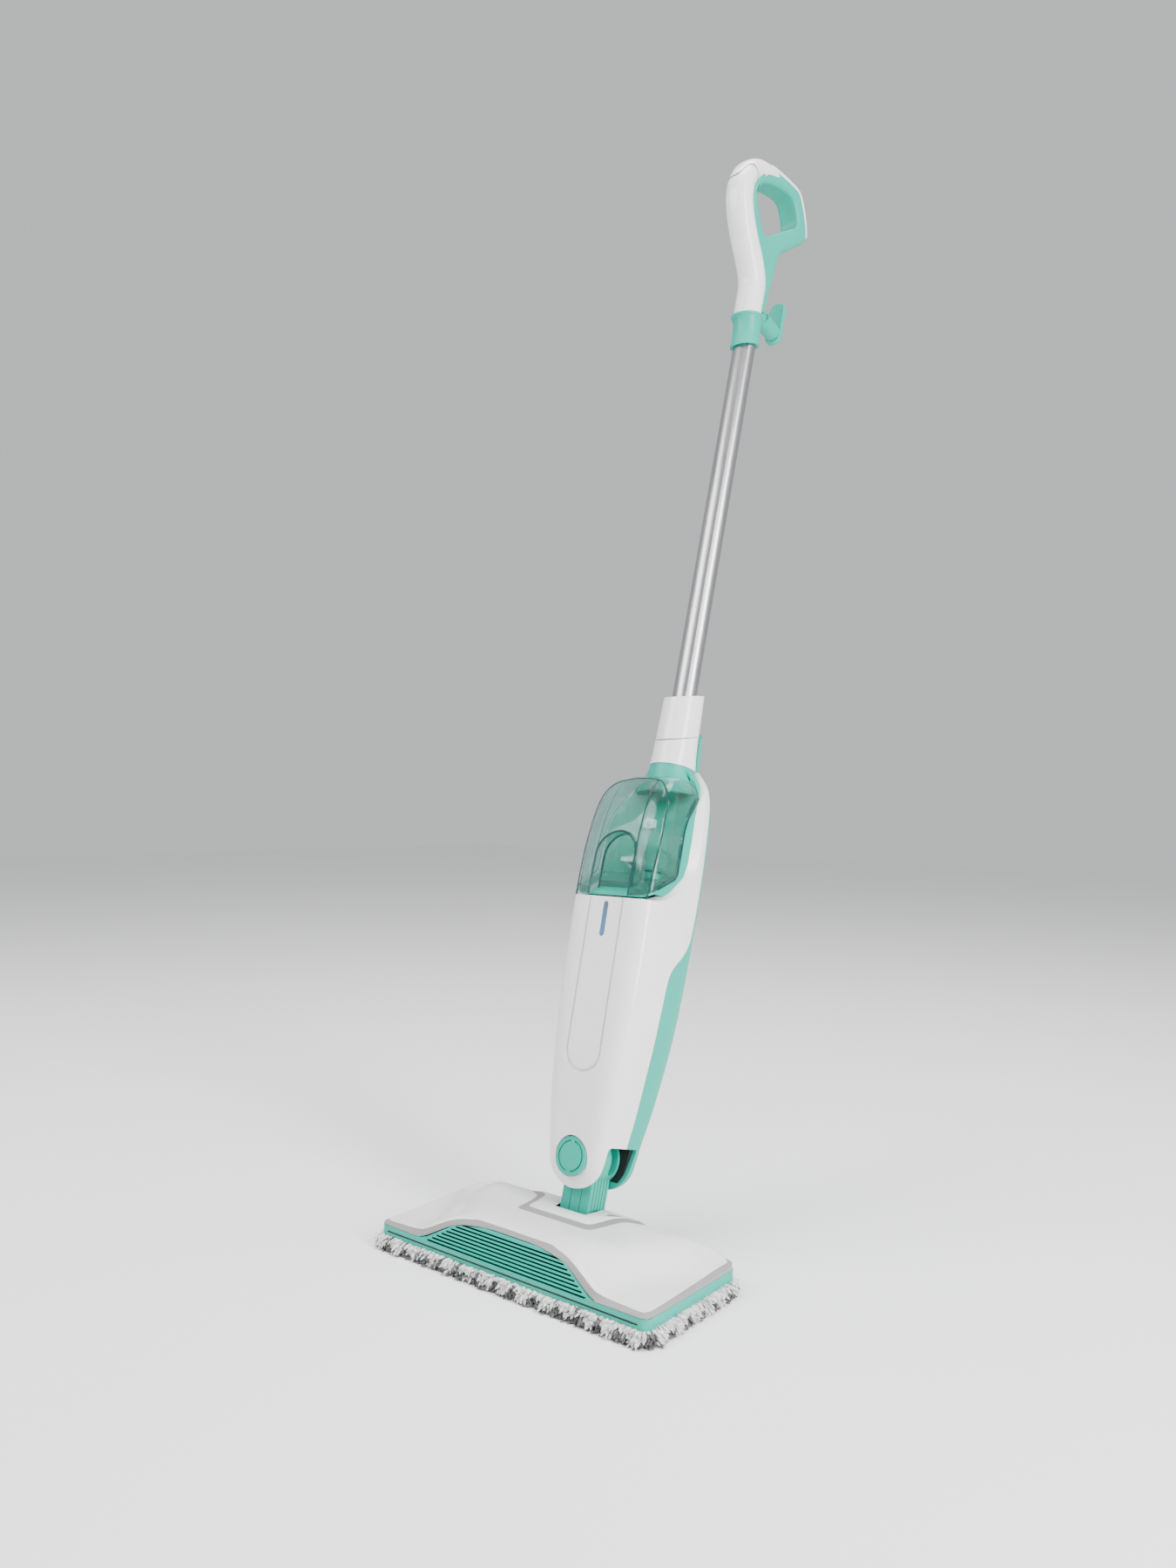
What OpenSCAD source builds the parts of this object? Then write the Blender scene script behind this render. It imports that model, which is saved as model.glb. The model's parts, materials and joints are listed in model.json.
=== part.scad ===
// Steam mop standing at rest: mop head on the floor, body leaning back on a two-axis neck.
// Origin: centre of the mop head on the floor. -Y is the front, +Z is up and X is across.
// Lean frame: z runs up the tube's axis, y is the distance behind that axis, and x is across.

/* [Stance] */
// Angle the body leans back from vertical, degrees
lean = 15.5; // [14:0.5:17]
// Distance of the tube's axis behind the head's centre, at the axis foot
foot_y = 60.9; // [60:0.1:62]
// Height of the tube's axis foot above the floor
foot_z = 24.6; // [24:0.1:26]

/* [Mop head] */
// Width of the base tray
head_w = 293; // [285:1:300]
// Depth of the base tray
head_d = 124; // [120:1:130]
// How far the pad stands out past the tray on each side
pad_margin = 5; // [3:1:7]
// Thickness of the pad
pad_t = 9.5; // [8:0.5:10]
// Height of the tray's rim above the floor
rim_z = 20.5; // [20:0.5:21]
// Height of the cover's deck above the floor
deck_z = 47; // [46:0.5:49]

/* [Neck] */
// Width of the neck block
neck_w = 32; // [30:1:33]
// Radius of the drum on the roll axle
drum_r = 22.5; // [20:0.5:22.5]
// Radius of both axle pins
pin_r = 4; // [3.5:0.5:4.5]
// Radius of the round cap over the roll axle
cap_r = 17; // [15:0.5:18]

/* [Body] */
// Wall thickness of the plastic covers
wall = 2; // [1.8:0.1:2.4]
// Width of the slot for the light guide
lamp_slot_w = 4; // [3:0.5:5]

/* [Tube and handle] */
// Half width of the oval tube
tube_a = 12.5; // [12:0.5:13]
// Half depth of the oval tube
tube_b = 11; // [10:0.5:11.5]
// Wall thickness of the tube
tube_wall = 1; // [0.8:0.1:1.2]
// Half width of the handle's spine
spine_a = 14.5; // [13:0.5:15]
// Width of the grip
grip_w = 25; // [22:1:26]

/* [Hidden] */

white = [0.94, 0.94, 0.93];
teal = [0.48, 0.80, 0.74];
metal = [0.75, 0.76, 0.77];
dark = [0.25, 0.26, 0.27];
gap = 0.4;        // between pieces of different bodies
fit = 0.05;       // radial running clearance on a pin
touch = 0.2;      // between pieces of one body
round_fn = 64;
small_fn = 32;
edge_fn = 20;

// ---- Lean-frame stations of the body's outside, each as [height, size] ----
half_width = [[27, 8], [30, 16], [35, 23.5], [40, 28], [46, 31], [60, 33], [73, 34.5], [94, 37.5],
    [125, 40.5], [160, 43.5], [200, 45.5], [250, 46.5], [300, 47], [340, 46.5], [378, 44], [400, 39.5],
    [412, 34], [424, 24]];
front_depth = [[27, 44], [46, 49], [60, 51.5], [94, 56], [125, 59], [160, 61.5], [240, 64.5], [282, 66],
    [341, 64], [378, 57], [400, 45], [412, 32], [424, 22]];
back_depth = [[27, 4], [33, 6], [49, 11], [73, 14], [113, 21], [163, 27], [258, 31], [382, 31],
    [400, 31.5], [412, 31], [424, 28]];
heights = [27, 30, 35, 40, 46, 60, 73, 94, 125, 160, 200, 250, 300, 340, 378, 400, 412, 424];
ring_n = 40;
mid_y = -10;      // where the body's sections are widest

// Side-view lines of the lean frame, as [y, z]
roll_z = 53.4;    // height of the roll axle
pitch_y = -21.4;  // pitch axle
pitch_z = -4;
notch_z = 67;     // top of the side notch around the drum
tongue_y = -42;   // back of the front tongue
heel_y = -1;      // front of the rear tongue
seam = [[-17, notch_z], [-15.5, 160], [-14, 215], [-10, 228], [4, 244], [16, 256], [24, 272], [26, 300],
    [26, 400], [24, 430]];
bay = [[-80, 281], [-70, 281], [-28, 309], [-26, 361], [-3, 397], [-8, 424], [-8, 430]];
sleeve_z = 424;   // where the sleeve stands on the body
gland_z = 400;    // cord inlet in the back
valve_z = 322;    // tank valve
seam2_z = 456;    // seam between the two sleeves
mouth_z = 499;    // middle of the sleeve's slanted mouth
tube_z0 = 432;
tube_z1 = 935;
screw_z = 475;    // screw that holds the tube in the upper sleeve
collar_z0 = 905;
collar_z1 = 943;

// ---- Frames and shared shapes ----
module leaning() translate([0, foot_y, foot_z]) rotate([-lean, 0, 0]) children();

// A side-view outline [y, z] made solid across x
module across(points, w = 140) rotate([90, 0, 90]) linear_extrude(height = w, center = true)
    polygon(points);

// A front-view outline [x, z] made solid along y
module along(points, y0, y1) translate([0, y1, 0]) rotate([90, 0, 0]) linear_extrude(height = y1 - y0)
    polygon(points);

// A plate with rounded corners, standing on z0
module slab(w, d, r, z0, z1) translate([0, 0, z0]) linear_extrude(height = z1 - z0) {
    square([w - 2 * r, d], center = true);
    square([w, d - 2 * r], center = true);
    for (x = [-1, 1], y = [-1, 1]) translate([x * (w / 2 - r), y * (d / 2 - r)]) circle(r, $fn = 48);
}

// A cylinder along x, y or z that starts at p
module rod_x(p, r, l) translate(p) rotate([0, 90, 0]) cylinder(r = r, h = l, $fn = round_fn);
module rod_y(p, r, l) translate(p) rotate([-90, 0, 0]) cylinder(r = r, h = l, $fn = round_fn);
module rod_z(p, r, l) translate(p) cylinder(r = r, h = l, $fn = round_fn);

// A pipe along z from p, with outer and inner radii
module pipe_z(p, r, ri, l) difference() {
    rod_z(p, r, l);
    rod_z(p - [0, 0, 1], ri, l + 2);
}

// A quarter bend of pipe around the point p in side view: from below p to behind it at turn 0, from
// behind p to above it at 90, and from above p to in front of it at 180
module bend(p, turn, r, ri, bend_r) translate(p) rotate([turn, 0, 0]) rotate([0, 90, 0])
    rotate_extrude(angle = 90, $fn = small_fn) translate([bend_r, 0]) difference() {
        circle(r, $fn = small_fn);
        circle(ri, $fn = small_fn);
    }

function squared(v, p) = sign(v) * pow(abs(v), p);

// One closed section of the body: nearly square in front, rounder behind
function ring(z, inset) = [for (i = [0:ring_n - 1])
    let (a = 360 * i / ring_n, c = cos(a), s = sin(a), p = s < 0 ? 1 / 3 : 1 / 2,
        hy = s < 0 ? lookup(z, front_depth) + mid_y : lookup(z, back_depth) - mid_y)
    [(lookup(z, half_width) - inset) * squared(c, p), mid_y + (hy - inset) * squared(s, p), z]];

// Rings of equal length joined into one closed solid
module skin(rings) {
    n = len(rings[0]);
    last = len(rings) - 1;
    sides = [for (k = [0:last - 1], i = [0:n - 1]) let (j = (i + 1) % n, a = k * n, b = a + n)
        [a + i, b + i, b + j, a + j]];
    floor_face = [for (i = [0:n - 1]) i];
    roof_face = [for (i = [n - 1:-1:0]) last * n + i];
    polyhedron(points = [for (r = rings) each r], faces = concat(sides, [floor_face, roof_face]));
}

// The body's outside between two heights, made smaller by inset
module body_loft(inset, z0, z1)
    skin([ring(z0, inset), for (z = heights) if (z > z0 + 1 && z < z1 - 1) ring(z, inset), ring(z1, inset)]);

// An oval of half sizes a and b in the plane z, its middle at y
function oval(a, b, y, z, tilt = 0) = [for (i = [0:edge_fn * 2 - 1]) let (t = 360 * i / (edge_fn * 2))
    [a * cos(t), y + b * sin(t), z + b * sin(t) * tilt]];

// A straight oval bar along z
module oval_bar(a, b, y, z0, z1) translate([0, 0, z0]) linear_extrude(height = z1 - z0)
    polygon([for (p = oval(a, b, y, 0)) [p[0], p[1]]]);

// ---- Mop head ----
pad_z = pad_t;
strip_t = 1;
sole_z = pad_z + strip_t;
sole_t = 3;
tray_floor = sole_z + sole_t + 0.1;
tray_top = tray_floor + 2.4;
grille_y = [-62, -50];            // front face of the grille, at rim height and at its top
grille_z = [18, 38];
grille_lean = atan((grille_y[1] - grille_y[0]) / (grille_z[1] - grille_z[0]));
grille_shape = [[-97, 17], [-97, 20.5], [-90, 22], [-62, 37], [-30, 41.5], [30, 41.5], [62, 37], [90, 22],
    [97, 20.5], [97, 17]];
slot_pitch = 2.85;
hump = [[-146.5, 15], [-146.5, 22], [-104, 25], [-96, 28], [-72, 41.5], [-40, 46], [0, deck_z],
    [40, 46], [72, 41.5], [96, 28], [104, 25], [146.5, 22], [146.5, 15]];
cover_side = [[-62, 20.7], [-61, 23], [-52, 40], [-46, deck_z - 1], [-30, deck_z - 1.5], [0, deck_z - 4],
    [40, deck_z - 6], [56, deck_z - 9], [62, 32], [62, 20.7]];
hump_in = [[-144.3, 10], [-144.3, 19.8], [-104, 22.8], [-95, 25.8], [-71, 39.3], [-40, 43.8],
    [0, deck_z - 2.2], [40, 43.8], [71, 39.3], [95, 25.8], [104, 22.8], [144.3, 19.8], [144.3, 10]];
cover_side_in = [[-59.8, 10], [-59, 22.4], [-50, 38], [-44, deck_z - 3.4], [-30, deck_z - 3.8],
    [0, deck_z - 6.2], [40, deck_z - 8.2], [54.6, deck_z - 11], [59.8, 30.5], [59.8, 10]];
slot_w = neck_w + 4;
pivot = [0, foot_y + pitch_y * cos(lean) + pitch_z * sin(lean),
    foot_z - pitch_y * sin(lean) + pitch_z * cos(lean)];
barrel_r = 9;
cheek_x = neck_w / 2 + 2.5;
cheek_t = 6;
post_x = 52;
post_y = [-34, 30];

module mop_pad() color([0.72, 0.72, 0.71])
    slab(head_w + 2 * pad_margin, head_d + 2 * pad_margin, 12, 0, pad_z);

module pad_strips() color(dark) for (y = [-1, 1])
    translate([-125, y * 38 - 9, pad_z]) cube([250, 18, strip_t]);

module sole_plate() color(metal) difference() {
    slab(272, 100, 8, sole_z, sole_z + sole_t);
    for (x = [-110:20:110], y = [-20, 0, 20]) rod_z([x, y, sole_z - 1], 1.5, sole_t + 2);
}

module grille_plate() intersection() {
    across([[-62, 13.5], [-62, grille_z[0]], [grille_y[1] - 2, 41.5], [grille_y[1] + 0.6, 41.5],
        [-59.4, grille_z[0]], [-59.4, 13.5]], 220);
    along(grille_shape, -70, -40);
}

module base_tray() color(teal) difference() {
    union() {
        difference() {
            slab(head_w, head_d, 6, sole_z, rim_z);
            slab(head_w - 5, head_d - 5, 4, tray_top, rim_z + 1);
        }
        grille_plate();
    }
    slab(273, 101, 8.5, sole_z - 1, sole_z + sole_t + 0.1);
    for (k = [0:7]) translate([0, grille_y[0], grille_z[0]]) rotate([-grille_lean, 0, 0])
        translate([0, 0, 2.5 + k * slot_pitch]) cube([2 * (88 - 4.6 * k), 12, 1.3], center = true);
    translate([0, -head_d / 2, 15.5]) cube([276, 2, 1.4], center = true);
    rod_z([0, 8, sole_z - 1], 5, 12);
    for (x = [-post_x, post_x], y = post_y) {
        rod_z([x, y, tray_floor - 1], 3.2, 2.3);
        rod_z([x, y, tray_floor - 1], 1.6, 5);
    }
}

module head_cover() color(white) difference() {
    union() {
        difference() {
            cover_body(hump, cover_side, head_w, head_d, 6, rim_z + touch);
            cover_body(hump_in, cover_side_in, head_w - 4.4, head_d - 4.4, 4, 10);
        }
        intersection() {
            for (x = [-post_x, post_x], y = post_y) rod_z([x, y, tray_top + touch], 4, 40);
            cover_body(hump, cover_side, head_w, head_d, 6, 10);
        }
    }
    grille_arch();
    translate([-slot_w / 2, 25, 5]) cube([slot_w, 60, 60]);
    for (x = [-post_x, post_x], y = post_y) rod_z([x, y, tray_top - 1], 1.4, 18);
}

module cover_body(front, side, w, d, r, z0) intersection() {
    along(front, -80, 80);
    across(side, 320);
    slab(w, d, r, z0, 60);
}

// The arch in the cover's front that the grille fills
module grille_arch() along([for (p = grille_shape) [p[0] * 1.006, p[1] + gap]], -90, -46.5);

module pivot_brackets() color(dark) for (s = [-1, 1]) difference() {
    translate([s * (cheek_x + cheek_t / 2), pivot[1], (tray_top + pivot[2]) / 2]) union() {
        cube([cheek_t, 20, pivot[2] - tray_top], center = true);
        translate([-cheek_t / 2, 0, (pivot[2] - tray_top) / 2]) rod_x([0, 0, 0], 8, cheek_t);
    }
    rod_x([-60, pivot[1], pivot[2]], pin_r, 120);
}

module pitch_axle() color(metal)
    rod_x([-cheek_x - cheek_t, pivot[1], pivot[2]], pin_r, 2 * (cheek_x + cheek_t));

module steam_nozzle() color(dark) difference() {
    union() {
        rod_z([0, 8, sole_z + sole_t + 0.2], 4.8, 8);
        rod_z([0, 8, tray_top], 8, 1.6);
    }
    rod_z([0, 8, sole_z], 2.6, 20);
}

// A hose that rises from the nozzle and bends back towards the neck
module head_hose() color(dark) translate([0, 8, sole_z + sole_t + 8.2]) {
    pipe_z([0, 0, 0], 4.4, 2.8, 2.02);
    bend([0, 7, 2], 180, 4.4, 2.8, 7);
}

module head_screws() color(metal) for (x = [-post_x, post_x], y = post_y) {
    rod_z([x, y, tray_floor], 3, 1.2);
    rod_z([x, y, tray_floor + 1.2], 1.4, 14);
}

// ---- Neck (lean frame) ----
drum_y = [-38, -8];
block_y = [-34, -9];

module neck_yoke() color(teal) leaning() difference() {
    union() {
        rod_y([0, drum_y[0], roll_z], drum_r, drum_y[1] - drum_y[0]);
        translate([-neck_w / 2, block_y[0], 4]) cube([neck_w, block_y[1] - block_y[0], 34]);
        translate([-neck_w / 2, pitch_y - 8.5, pitch_z]) cube([neck_w, 17, 9]);
        rod_x([-neck_w / 2, pitch_y, pitch_z], barrel_r, neck_w);
    }
    rod_x([-neck_w, pitch_y, pitch_z], pin_r + 2, 2 * neck_w);
    rod_y([0, -60, roll_z], pin_r + 3, 80);
    rod_z([0, pitch_y, 5], 5, 34);
    for (k = [0:4]) for (x = [-1, 1])
        translate([x * neck_w / 2, block_y[0] + 4.5 + 4 * k, 26]) cube([1.6, 1.2, 34], center = true);
    for (x = [-1, 1]) drum_window(x);
}

// The oblong window in each side of the drum
module drum_window(x) {
    translate([x * drum_r, -23, roll_z + 6]) cube([10, 7, 12], center = true);
    rod_x([x * drum_r - 5, -23, roll_z], 3.5, 10);
}

module pitch_bushes() color(metal) leaning() for (x = [-neck_w / 2, neck_w / 2 - 10]) difference() {
    rod_x([x, pitch_y, pitch_z], pin_r + 2, 10);
    rod_x([x - 1, pitch_y, pitch_z], pin_r + fit, 12);
}

module roll_bushes() color(metal) leaning() for (y = [drum_y[0], drum_y[1] - 9]) difference() {
    rod_y([0, y, roll_z], pin_r + 3, 9);
    rod_y([0, y - 1, roll_z], pin_r + 1 + fit, 11);
}

module neck_hose() color(dark) leaning() pipe_z([0, pitch_y, 6], 4.6, 3, 32);

// ---- Body covers (lean frame) ----
body_top = 424;

module body_shell() difference() {
    body_loft(0, 27, body_top);
    body_loft(wall, 62, body_top - wall);
}

module before_seam() across(concat(seam, [[-90, 430], [-90, notch_z]]));

module behind_seam() across(concat([for (p = seam) [p[0] + touch, p[1]]], [[60, 430], [60, notch_z]]));

module bay_space(offset) across(concat([for (p = bay) [p[0] + offset, p[1] - offset]], [[-90, 430]]));

module front_cover() color(white) leaning() difference() {
    union() {
        intersection() {
            body_shell();
            before_seam();
        }
        intersection() {
            body_loft(0, 27, 80);
            across([[-90, 20], [tongue_y, 20], [tongue_y, notch_z + 3], [-90, notch_z + 3]]);
        }
        intersection() {
            body_loft(0.6, 62, 300);
            at_bosses() rod_y([0, -30, 0], 4.5, 13.8);
        }
    }
    at_bosses() rod_y([0, -24, 0], 1.5, 20);
    bay_space(0);
    rod_y([0, -60, roll_z], cap_r + 0.2, 60 - 48.5);
    rod_y([0, -60, roll_z], pin_r + 1, 30);
    translate([-lamp_slot_w / 2 - 0.1, -80, 244]) cube([lamp_slot_w + 0.2, 40, 35]);
    track_groove();
    tube_hole();
}

// The oblong track pressed 1 mm into the front face
track_r = [19.5, 17.9];
track_z = 145;
module track_groove() intersection() {
    rotate([90, 0, 0]) linear_extrude(height = 90) difference() {
        stadium(track_r[0]);
        stadium(track_r[1]);
    }
    across([[-90, 120], [-58, 125], [-60.5, 160], [-63.5, 240], [-65, 282], [-65.2, 300], [-90, 300]]);
}

module stadium(r) {
    translate([0, track_z]) circle(r, $fn = round_fn);
    translate([-r, track_z]) square([2 * r, 160]);
}

module tube_hole() rod_z([0, 0, 405], 15, 30);

module rear_cover() color(teal) leaning() difference() {
    union() {
        intersection() {
            body_shell();
            behind_seam();
        }
        intersection() {
            body_loft(0, 27, 80);
            across([[heel_y, 20], [60, 20], [60, notch_z + 3], [heel_y, notch_z + 3]]);
        }
        rear_spine();
        intersection() {
            body_loft(0.6, 62, 300);
            at_bosses() rod_y([0, -9, 0], 5, 50);
        }
    }
    at_bosses() {
        rod_y([0, -20, 0], 1.6, 30);
        rod_y([0, 2, 0], 3.2, 50);
    }
    rod_y([0, -20, roll_z], pin_r + 1, 28);
    rod_y([0, 15, gland_z], 8.8, 30);
    tube_hole();
}

// Strip that runs up behind the lower sleeve
module rear_spine() difference() {
    intersection() {
        skin([oval(20, 29, 0, body_top - 2), oval(18, 25, 0, seam2_z + 8)]);
        across([[15, body_top + touch], [26.2, body_top + touch], [26.2, 420], [40, 420], [40, 470], [15, 470]]);
    }
    skin([oval(24, 24.8, 1, 415), oval(22.5, 22.3, 0, 475)]);
}

module pivot_cap() color(teal) leaning() difference() {
    rod_y([0, -51.8, roll_z], cap_r, 3.3);
    for (s = [-1, 1]) translate([s * 12.5, -52, roll_z]) cube([1.2, 1.6, 12], center = true);
}

module roll_axle() color(metal) leaning() difference() {
    rod_y([0, -48.4, roll_z], pin_r + 1, 48.4 + 7.5);
    rod_y([0, -60, roll_z], 2, 90);
}

module axle_clip() color(dark) leaning() difference() {
    rod_y([0, -5, roll_z], 8, 1.2);
    rod_y([0, -8, roll_z], pin_r + 1, 6);
}

module light_guide() color([0.35, 0.55, 0.85]) leaning() translate([-lamp_slot_w / 2, -64.6, 244.2])
    cube([lamp_slot_w, 7, 34.6]);

module lamp_board() color([0.2, 0.45, 0.3]) leaning() {
    translate([-22, -57.4, 240]) cube([44, 1.6, 36]);
    translate([-3, -55.8, 252]) cube([6, 4, 10]);
}

// ---- Inside the body (lean frame) ----
boiler_z = [86, 166];
boiler_y = -24;
boiler_r = 21;
pump_y = -30;
pump_z = [182, 250];
hose_r = 4;
hose_ri = 2.4;
hose_y = -9;      // where the inlet hose rises behind the bay
hose_low = pump_z[1] + 14;

module boiler() color(metal) leaning() difference() {
    rod_z([0, boiler_y, boiler_z[0]], boiler_r, boiler_z[1] - boiler_z[0]);
    rod_z([0, boiler_y, boiler_z[0] + 8], 12.5, boiler_z[1] - boiler_z[0] - 16);
    rod_z([0, boiler_y, boiler_z[0] - 1], 2.5, 20);
    for (s = [-1, 1]) rod_z([s * 16.8, boiler_y, boiler_z[0] + 6], 3.6, 90);
}

module heating_rods() color(dark) leaning() for (s = [-1, 1])
    rod_z([s * 16.8, boiler_y, boiler_z[0] + 6], 3.5, 84);

module boiler_jacket() color([0.8, 0.78, 0.7]) leaning()
    pipe_z([0, boiler_y, boiler_z[0] + 4], 24, boiler_r + touch, 70);

module thermostat() color(dark) leaning() rod_z([0, boiler_y + 12, boiler_z[1]], 7, 6);

module thermal_fuse() color(metal) leaning() rod_y([9, boiler_y - 14, boiler_z[1] + 2.3], 2.2, 12);

module steam_outlet() color(dark) leaning()
    pipe_z([0, boiler_y, boiler_z[0] - 8], 4.5, 2.5, 8);

module pressure_hose() color(dark) leaning()
    pipe_z([0, pump_y, boiler_z[1]], 3.5, 2, pump_z[0] - boiler_z[1]);

module pump_coil() color(dark) leaning() difference() {
    translate([-18, pump_y - 17, 198]) cube([36, 34, 36]);
    rod_z([0, pump_y, 190], 9 + touch, 60);
}

module pump_tube() color(metal) leaning() difference() {
    rod_z([0, pump_y, pump_z[0]], 9, pump_z[1] - pump_z[0]);
    rod_z([0, pump_y, pump_z[0] - 1], 2, pump_z[1] - pump_z[0] + 2);
}

module pump_mounts() color(dark) leaning() for (z = [pump_z[0] + 2, pump_z[1] - 10])
    pipe_z([0, pump_y, z], 13, 9, 7);

// A hose from the top of the pump, back under the tank's bay and up to the tank valve's seat
module inlet_hose() color(dark) leaning() difference() {
    hose_runs(hose_r, 0);
    hose_runs(hose_ri, 1);
}

// The hose's four straight runs, with square corners, and its ends made longer by extra
module hose_runs(r, extra) {
    rod_z([0, pump_y, pump_z[1] - extra], r, hose_low - pump_z[1] + r + extra);
    rod_y([0, pump_y - r, hose_low], r, hose_y - pump_y + 2 * r);
    rod_z([0, hose_y, hose_low - r], r, valve_z - hose_low + 2 * r);
    rod_y([0, seat_y[1] - extra, valve_z], r, hose_y - seat_y[1] + r + extra);
}

module power_board() color([0.2, 0.45, 0.3]) leaning() {
    translate([-26, 12, 185]) cube([52, 1.6, 70]);
    translate([-20, 4, 195]) cube([16, 8, 14]);
    translate([2, 2, 215]) cube([18, 10, 18]);
}

module tank_bay() color(teal) leaning() intersection() {
    body_loft(wall + touch, 62, body_top - 6);
    difference() {
        across([[-61, 286.6], [-27.8, 308.8], [-25.8, 361], [-2.8, 397.1], [-5.4, 411],
            [-3.2, 411], [-0.6, 396.4], [-23.6, 360.2], [-25.6, 306.8], [-61, 284.2]]);
        rod_y([0, -40, valve_z], 6.8, 30);
    }
}

seat_y = [-27.4, -18.4];

module valve_seat() color(dark) leaning() difference() {
    rod_y([0, seat_y[0], valve_z], 6.7, seat_y[1] - seat_y[0]);
    rod_y([0, -30, valve_z], 4 + gap, 20);
}

module cord_gland() color(teal) leaning() difference() {
    union() {
        rod_y([0, 24, gland_z], 8.7, 14);
        rod_y([0, 32.5, gland_z], 10.5, 2.5);
    }
    rod_y([0, 20, gland_z], 4.2, 30);
}

function boss_x(z) = lookup(z, half_width) - 6;
boss_z = [100, 200];

module at_bosses() for (x = [-1, 1], z = boss_z) translate([x * boss_x(z), 0, z]) children();

module body_screws() color(metal) leaning() at_bosses() {
    rod_y([0, 2, 0], 3, 2);
    rod_y([0, -20, 0], 1.5, 22);
}

// ---- Sleeves and tube (lean frame) ----
module lower_sleeve() color(white) leaning() difference() {
    skin([oval(22.5, 24, 1, sleeve_z + touch), oval(21.5, 22, 0.5, 440), oval(20.8, 21, 0, seam2_z, 0.15)]);
    skin([oval(18, 18, 0, sleeve_z - 2), oval(18, 18, 0, seam2_z + 6)]);
}

module upper_sleeve() color(white) leaning() difference() {
    skin([oval(20.8, 21, 0, seam2_z + touch, 0.15), oval(19.8, 19.6, 0, mouth_z, 0.35)]);
    skin([oval(18, 18, 0, seam2_z - 9), oval(17.4, 17.2, 0, mouth_z + 12)]);
    rod_y([0, 10, screw_z], 3.2, 20);
}

module sleeve_screws() color(metal) leaning() {
    rod_y([0, 17.2, screw_z], 3, 2);
    rod_y([0, tube_b + touch, screw_z], 1.5, 6);
}

module tube() color(metal) leaning() difference() {
    oval_bar(tube_a, tube_b, 0, tube_z0, tube_z1);
    oval_bar(tube_a - tube_wall, tube_b - tube_wall, 0, tube_z0 - 1, tube_z1 + 1);
}

module tube_liner() color(dark) leaning() difference() {
    oval_bar(17, 17, 0, 433, 486);
    oval_bar(tube_a + touch, tube_b + touch, 0, 430, 500);
    rod_y([0, 0, screw_z], 1.5, 30);
}

// ---- Handle (lean frame) ----
// Middle line of the spine in side view, from the collar up and over the top
spine_line = [[-5, 943.5], [-5, 960], [-5.5, 977], [-11, 990], [-20, 1002], [-34, 1017], [-46, 1033],
    [-54, 1050], [-56, 1068], [-51, 1085], [-41, 1098], [-28, 1107]];
spine_half = [13, 13.4, 14, 14.5, 14.5, 14, 13.5, 13.2, 13, 12.6, 11.8, 10.5];
grip_out = [[-36, 1096], [-30, 1112], [-20, 1120], [0, 1125.5], [20, 1130], [34, 1133], [43, 1130],
    [54, 1118], [64, 1102], [67, 1092], [64, 1082], [54, 1070], [36, 1050], [25, 1038], [20, 1026],
    [17, 1005], [14, 980], [11.5, 958], [9, 944], [6, 944], [6, 975], [-1, 992], [-12, 1008],
    [-28, 1026], [-38, 1045], [-41, 1066]];
grip_screws = [[56, 1096], [12, 1036]];
grip_hole = [[-29, 1068], [-26, 1086], [-18, 1098], [-4, 1107], [14, 1113.5], [26, 1116], [34, 1113],
    [42, 1104], [47, 1094], [44, 1088], [30, 1074], [8, 1052], [-9, 1036], [-16, 1036], [-25, 1050]];

// Unit normal of the spine's middle line at point k
function spine_side(k) = let (a = spine_line[max(k - 1, 0)], b = spine_line[min(k + 1, len(spine_line) - 1)],
    d = b - a) [d[1], -d[0]] / norm(d);

function spine_ring(k, inset) = let (m = spine_line[k], n = spine_side(k))
    [for (i = [0:edge_fn * 2 - 1]) let (t = 360 * i / (edge_fn * 2), u = (spine_half[k] - inset) * sin(t))
        [(spine_a - inset) * squared(cos(t), 0.75), m[0] + n[0] * u, m[1] + n[1] * u]];

module spine_body(inset, k0, k1) skin([for (k = [k0:k1]) spine_ring(k, inset)]);

module handle_spine() color(white) leaning() difference() {
    spine_body(0, 0, 9);
    spine_body(1.8, 0, 8);
    skin([oval(spine_a - 1.8, 11.2, -5, 940), oval(spine_a - 1.8, 11.2, -5, 950)]);
    across(grip_out, 60);
}

module top_cap() color(white) leaning() difference() {
    spine_body(0, 9, 11);
    across(grip_out, 60);
}

module grip() color(teal) leaning() difference() {
    across(grip_out, grip_w);
    across(grip_hole, grip_w + 2);
    difference() {
        rotate([90, 0, 90]) linear_extrude(height = grip_w - 4, center = true) offset(delta = -2)
            difference() {
                polygon(grip_out);
                polygon(grip_hole);
            }
        for (p = grip_screws) rod_x([-20, p[0], p[1]], 4.5, 40);
    }
    for (p = grip_screws) {
        rod_x([grip_w / 2 - 4, p[0], p[1]], 3.1, 10);
        rod_x([-6, p[0], p[1]], 1.4, 20);
    }
    rod_x([-20, 13, 1015], 1.2, 12);
    rod_y(hook_root - [0, 4.5, 0], hook_pin_r, 9);
}

module collar() color(teal) leaning() difference() {
    skin([oval(15.6, 14.2, 0, collar_z0), oval(15.2, 14, -0.5, 922), oval(15.6, 15, -3, 938),
        oval(16.4, 16, -4.5, 941), oval(16.4, 16, -5, collar_z1)]);
    skin([oval(tube_a + touch, tube_b + touch, 0, collar_z0 - 1),
        oval(tube_a + touch, tube_b + touch, 0, tube_z1 + 0.5)]);
}

module handle_screws() color(metal) leaning() for (p = grip_screws) {
    rod_x([grip_w / 2 - 4, p[0], p[1]], 2.9, 2);
    rod_x([-6, p[0], p[1]], 1.4, grip_w / 2 + 2);
}

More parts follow.
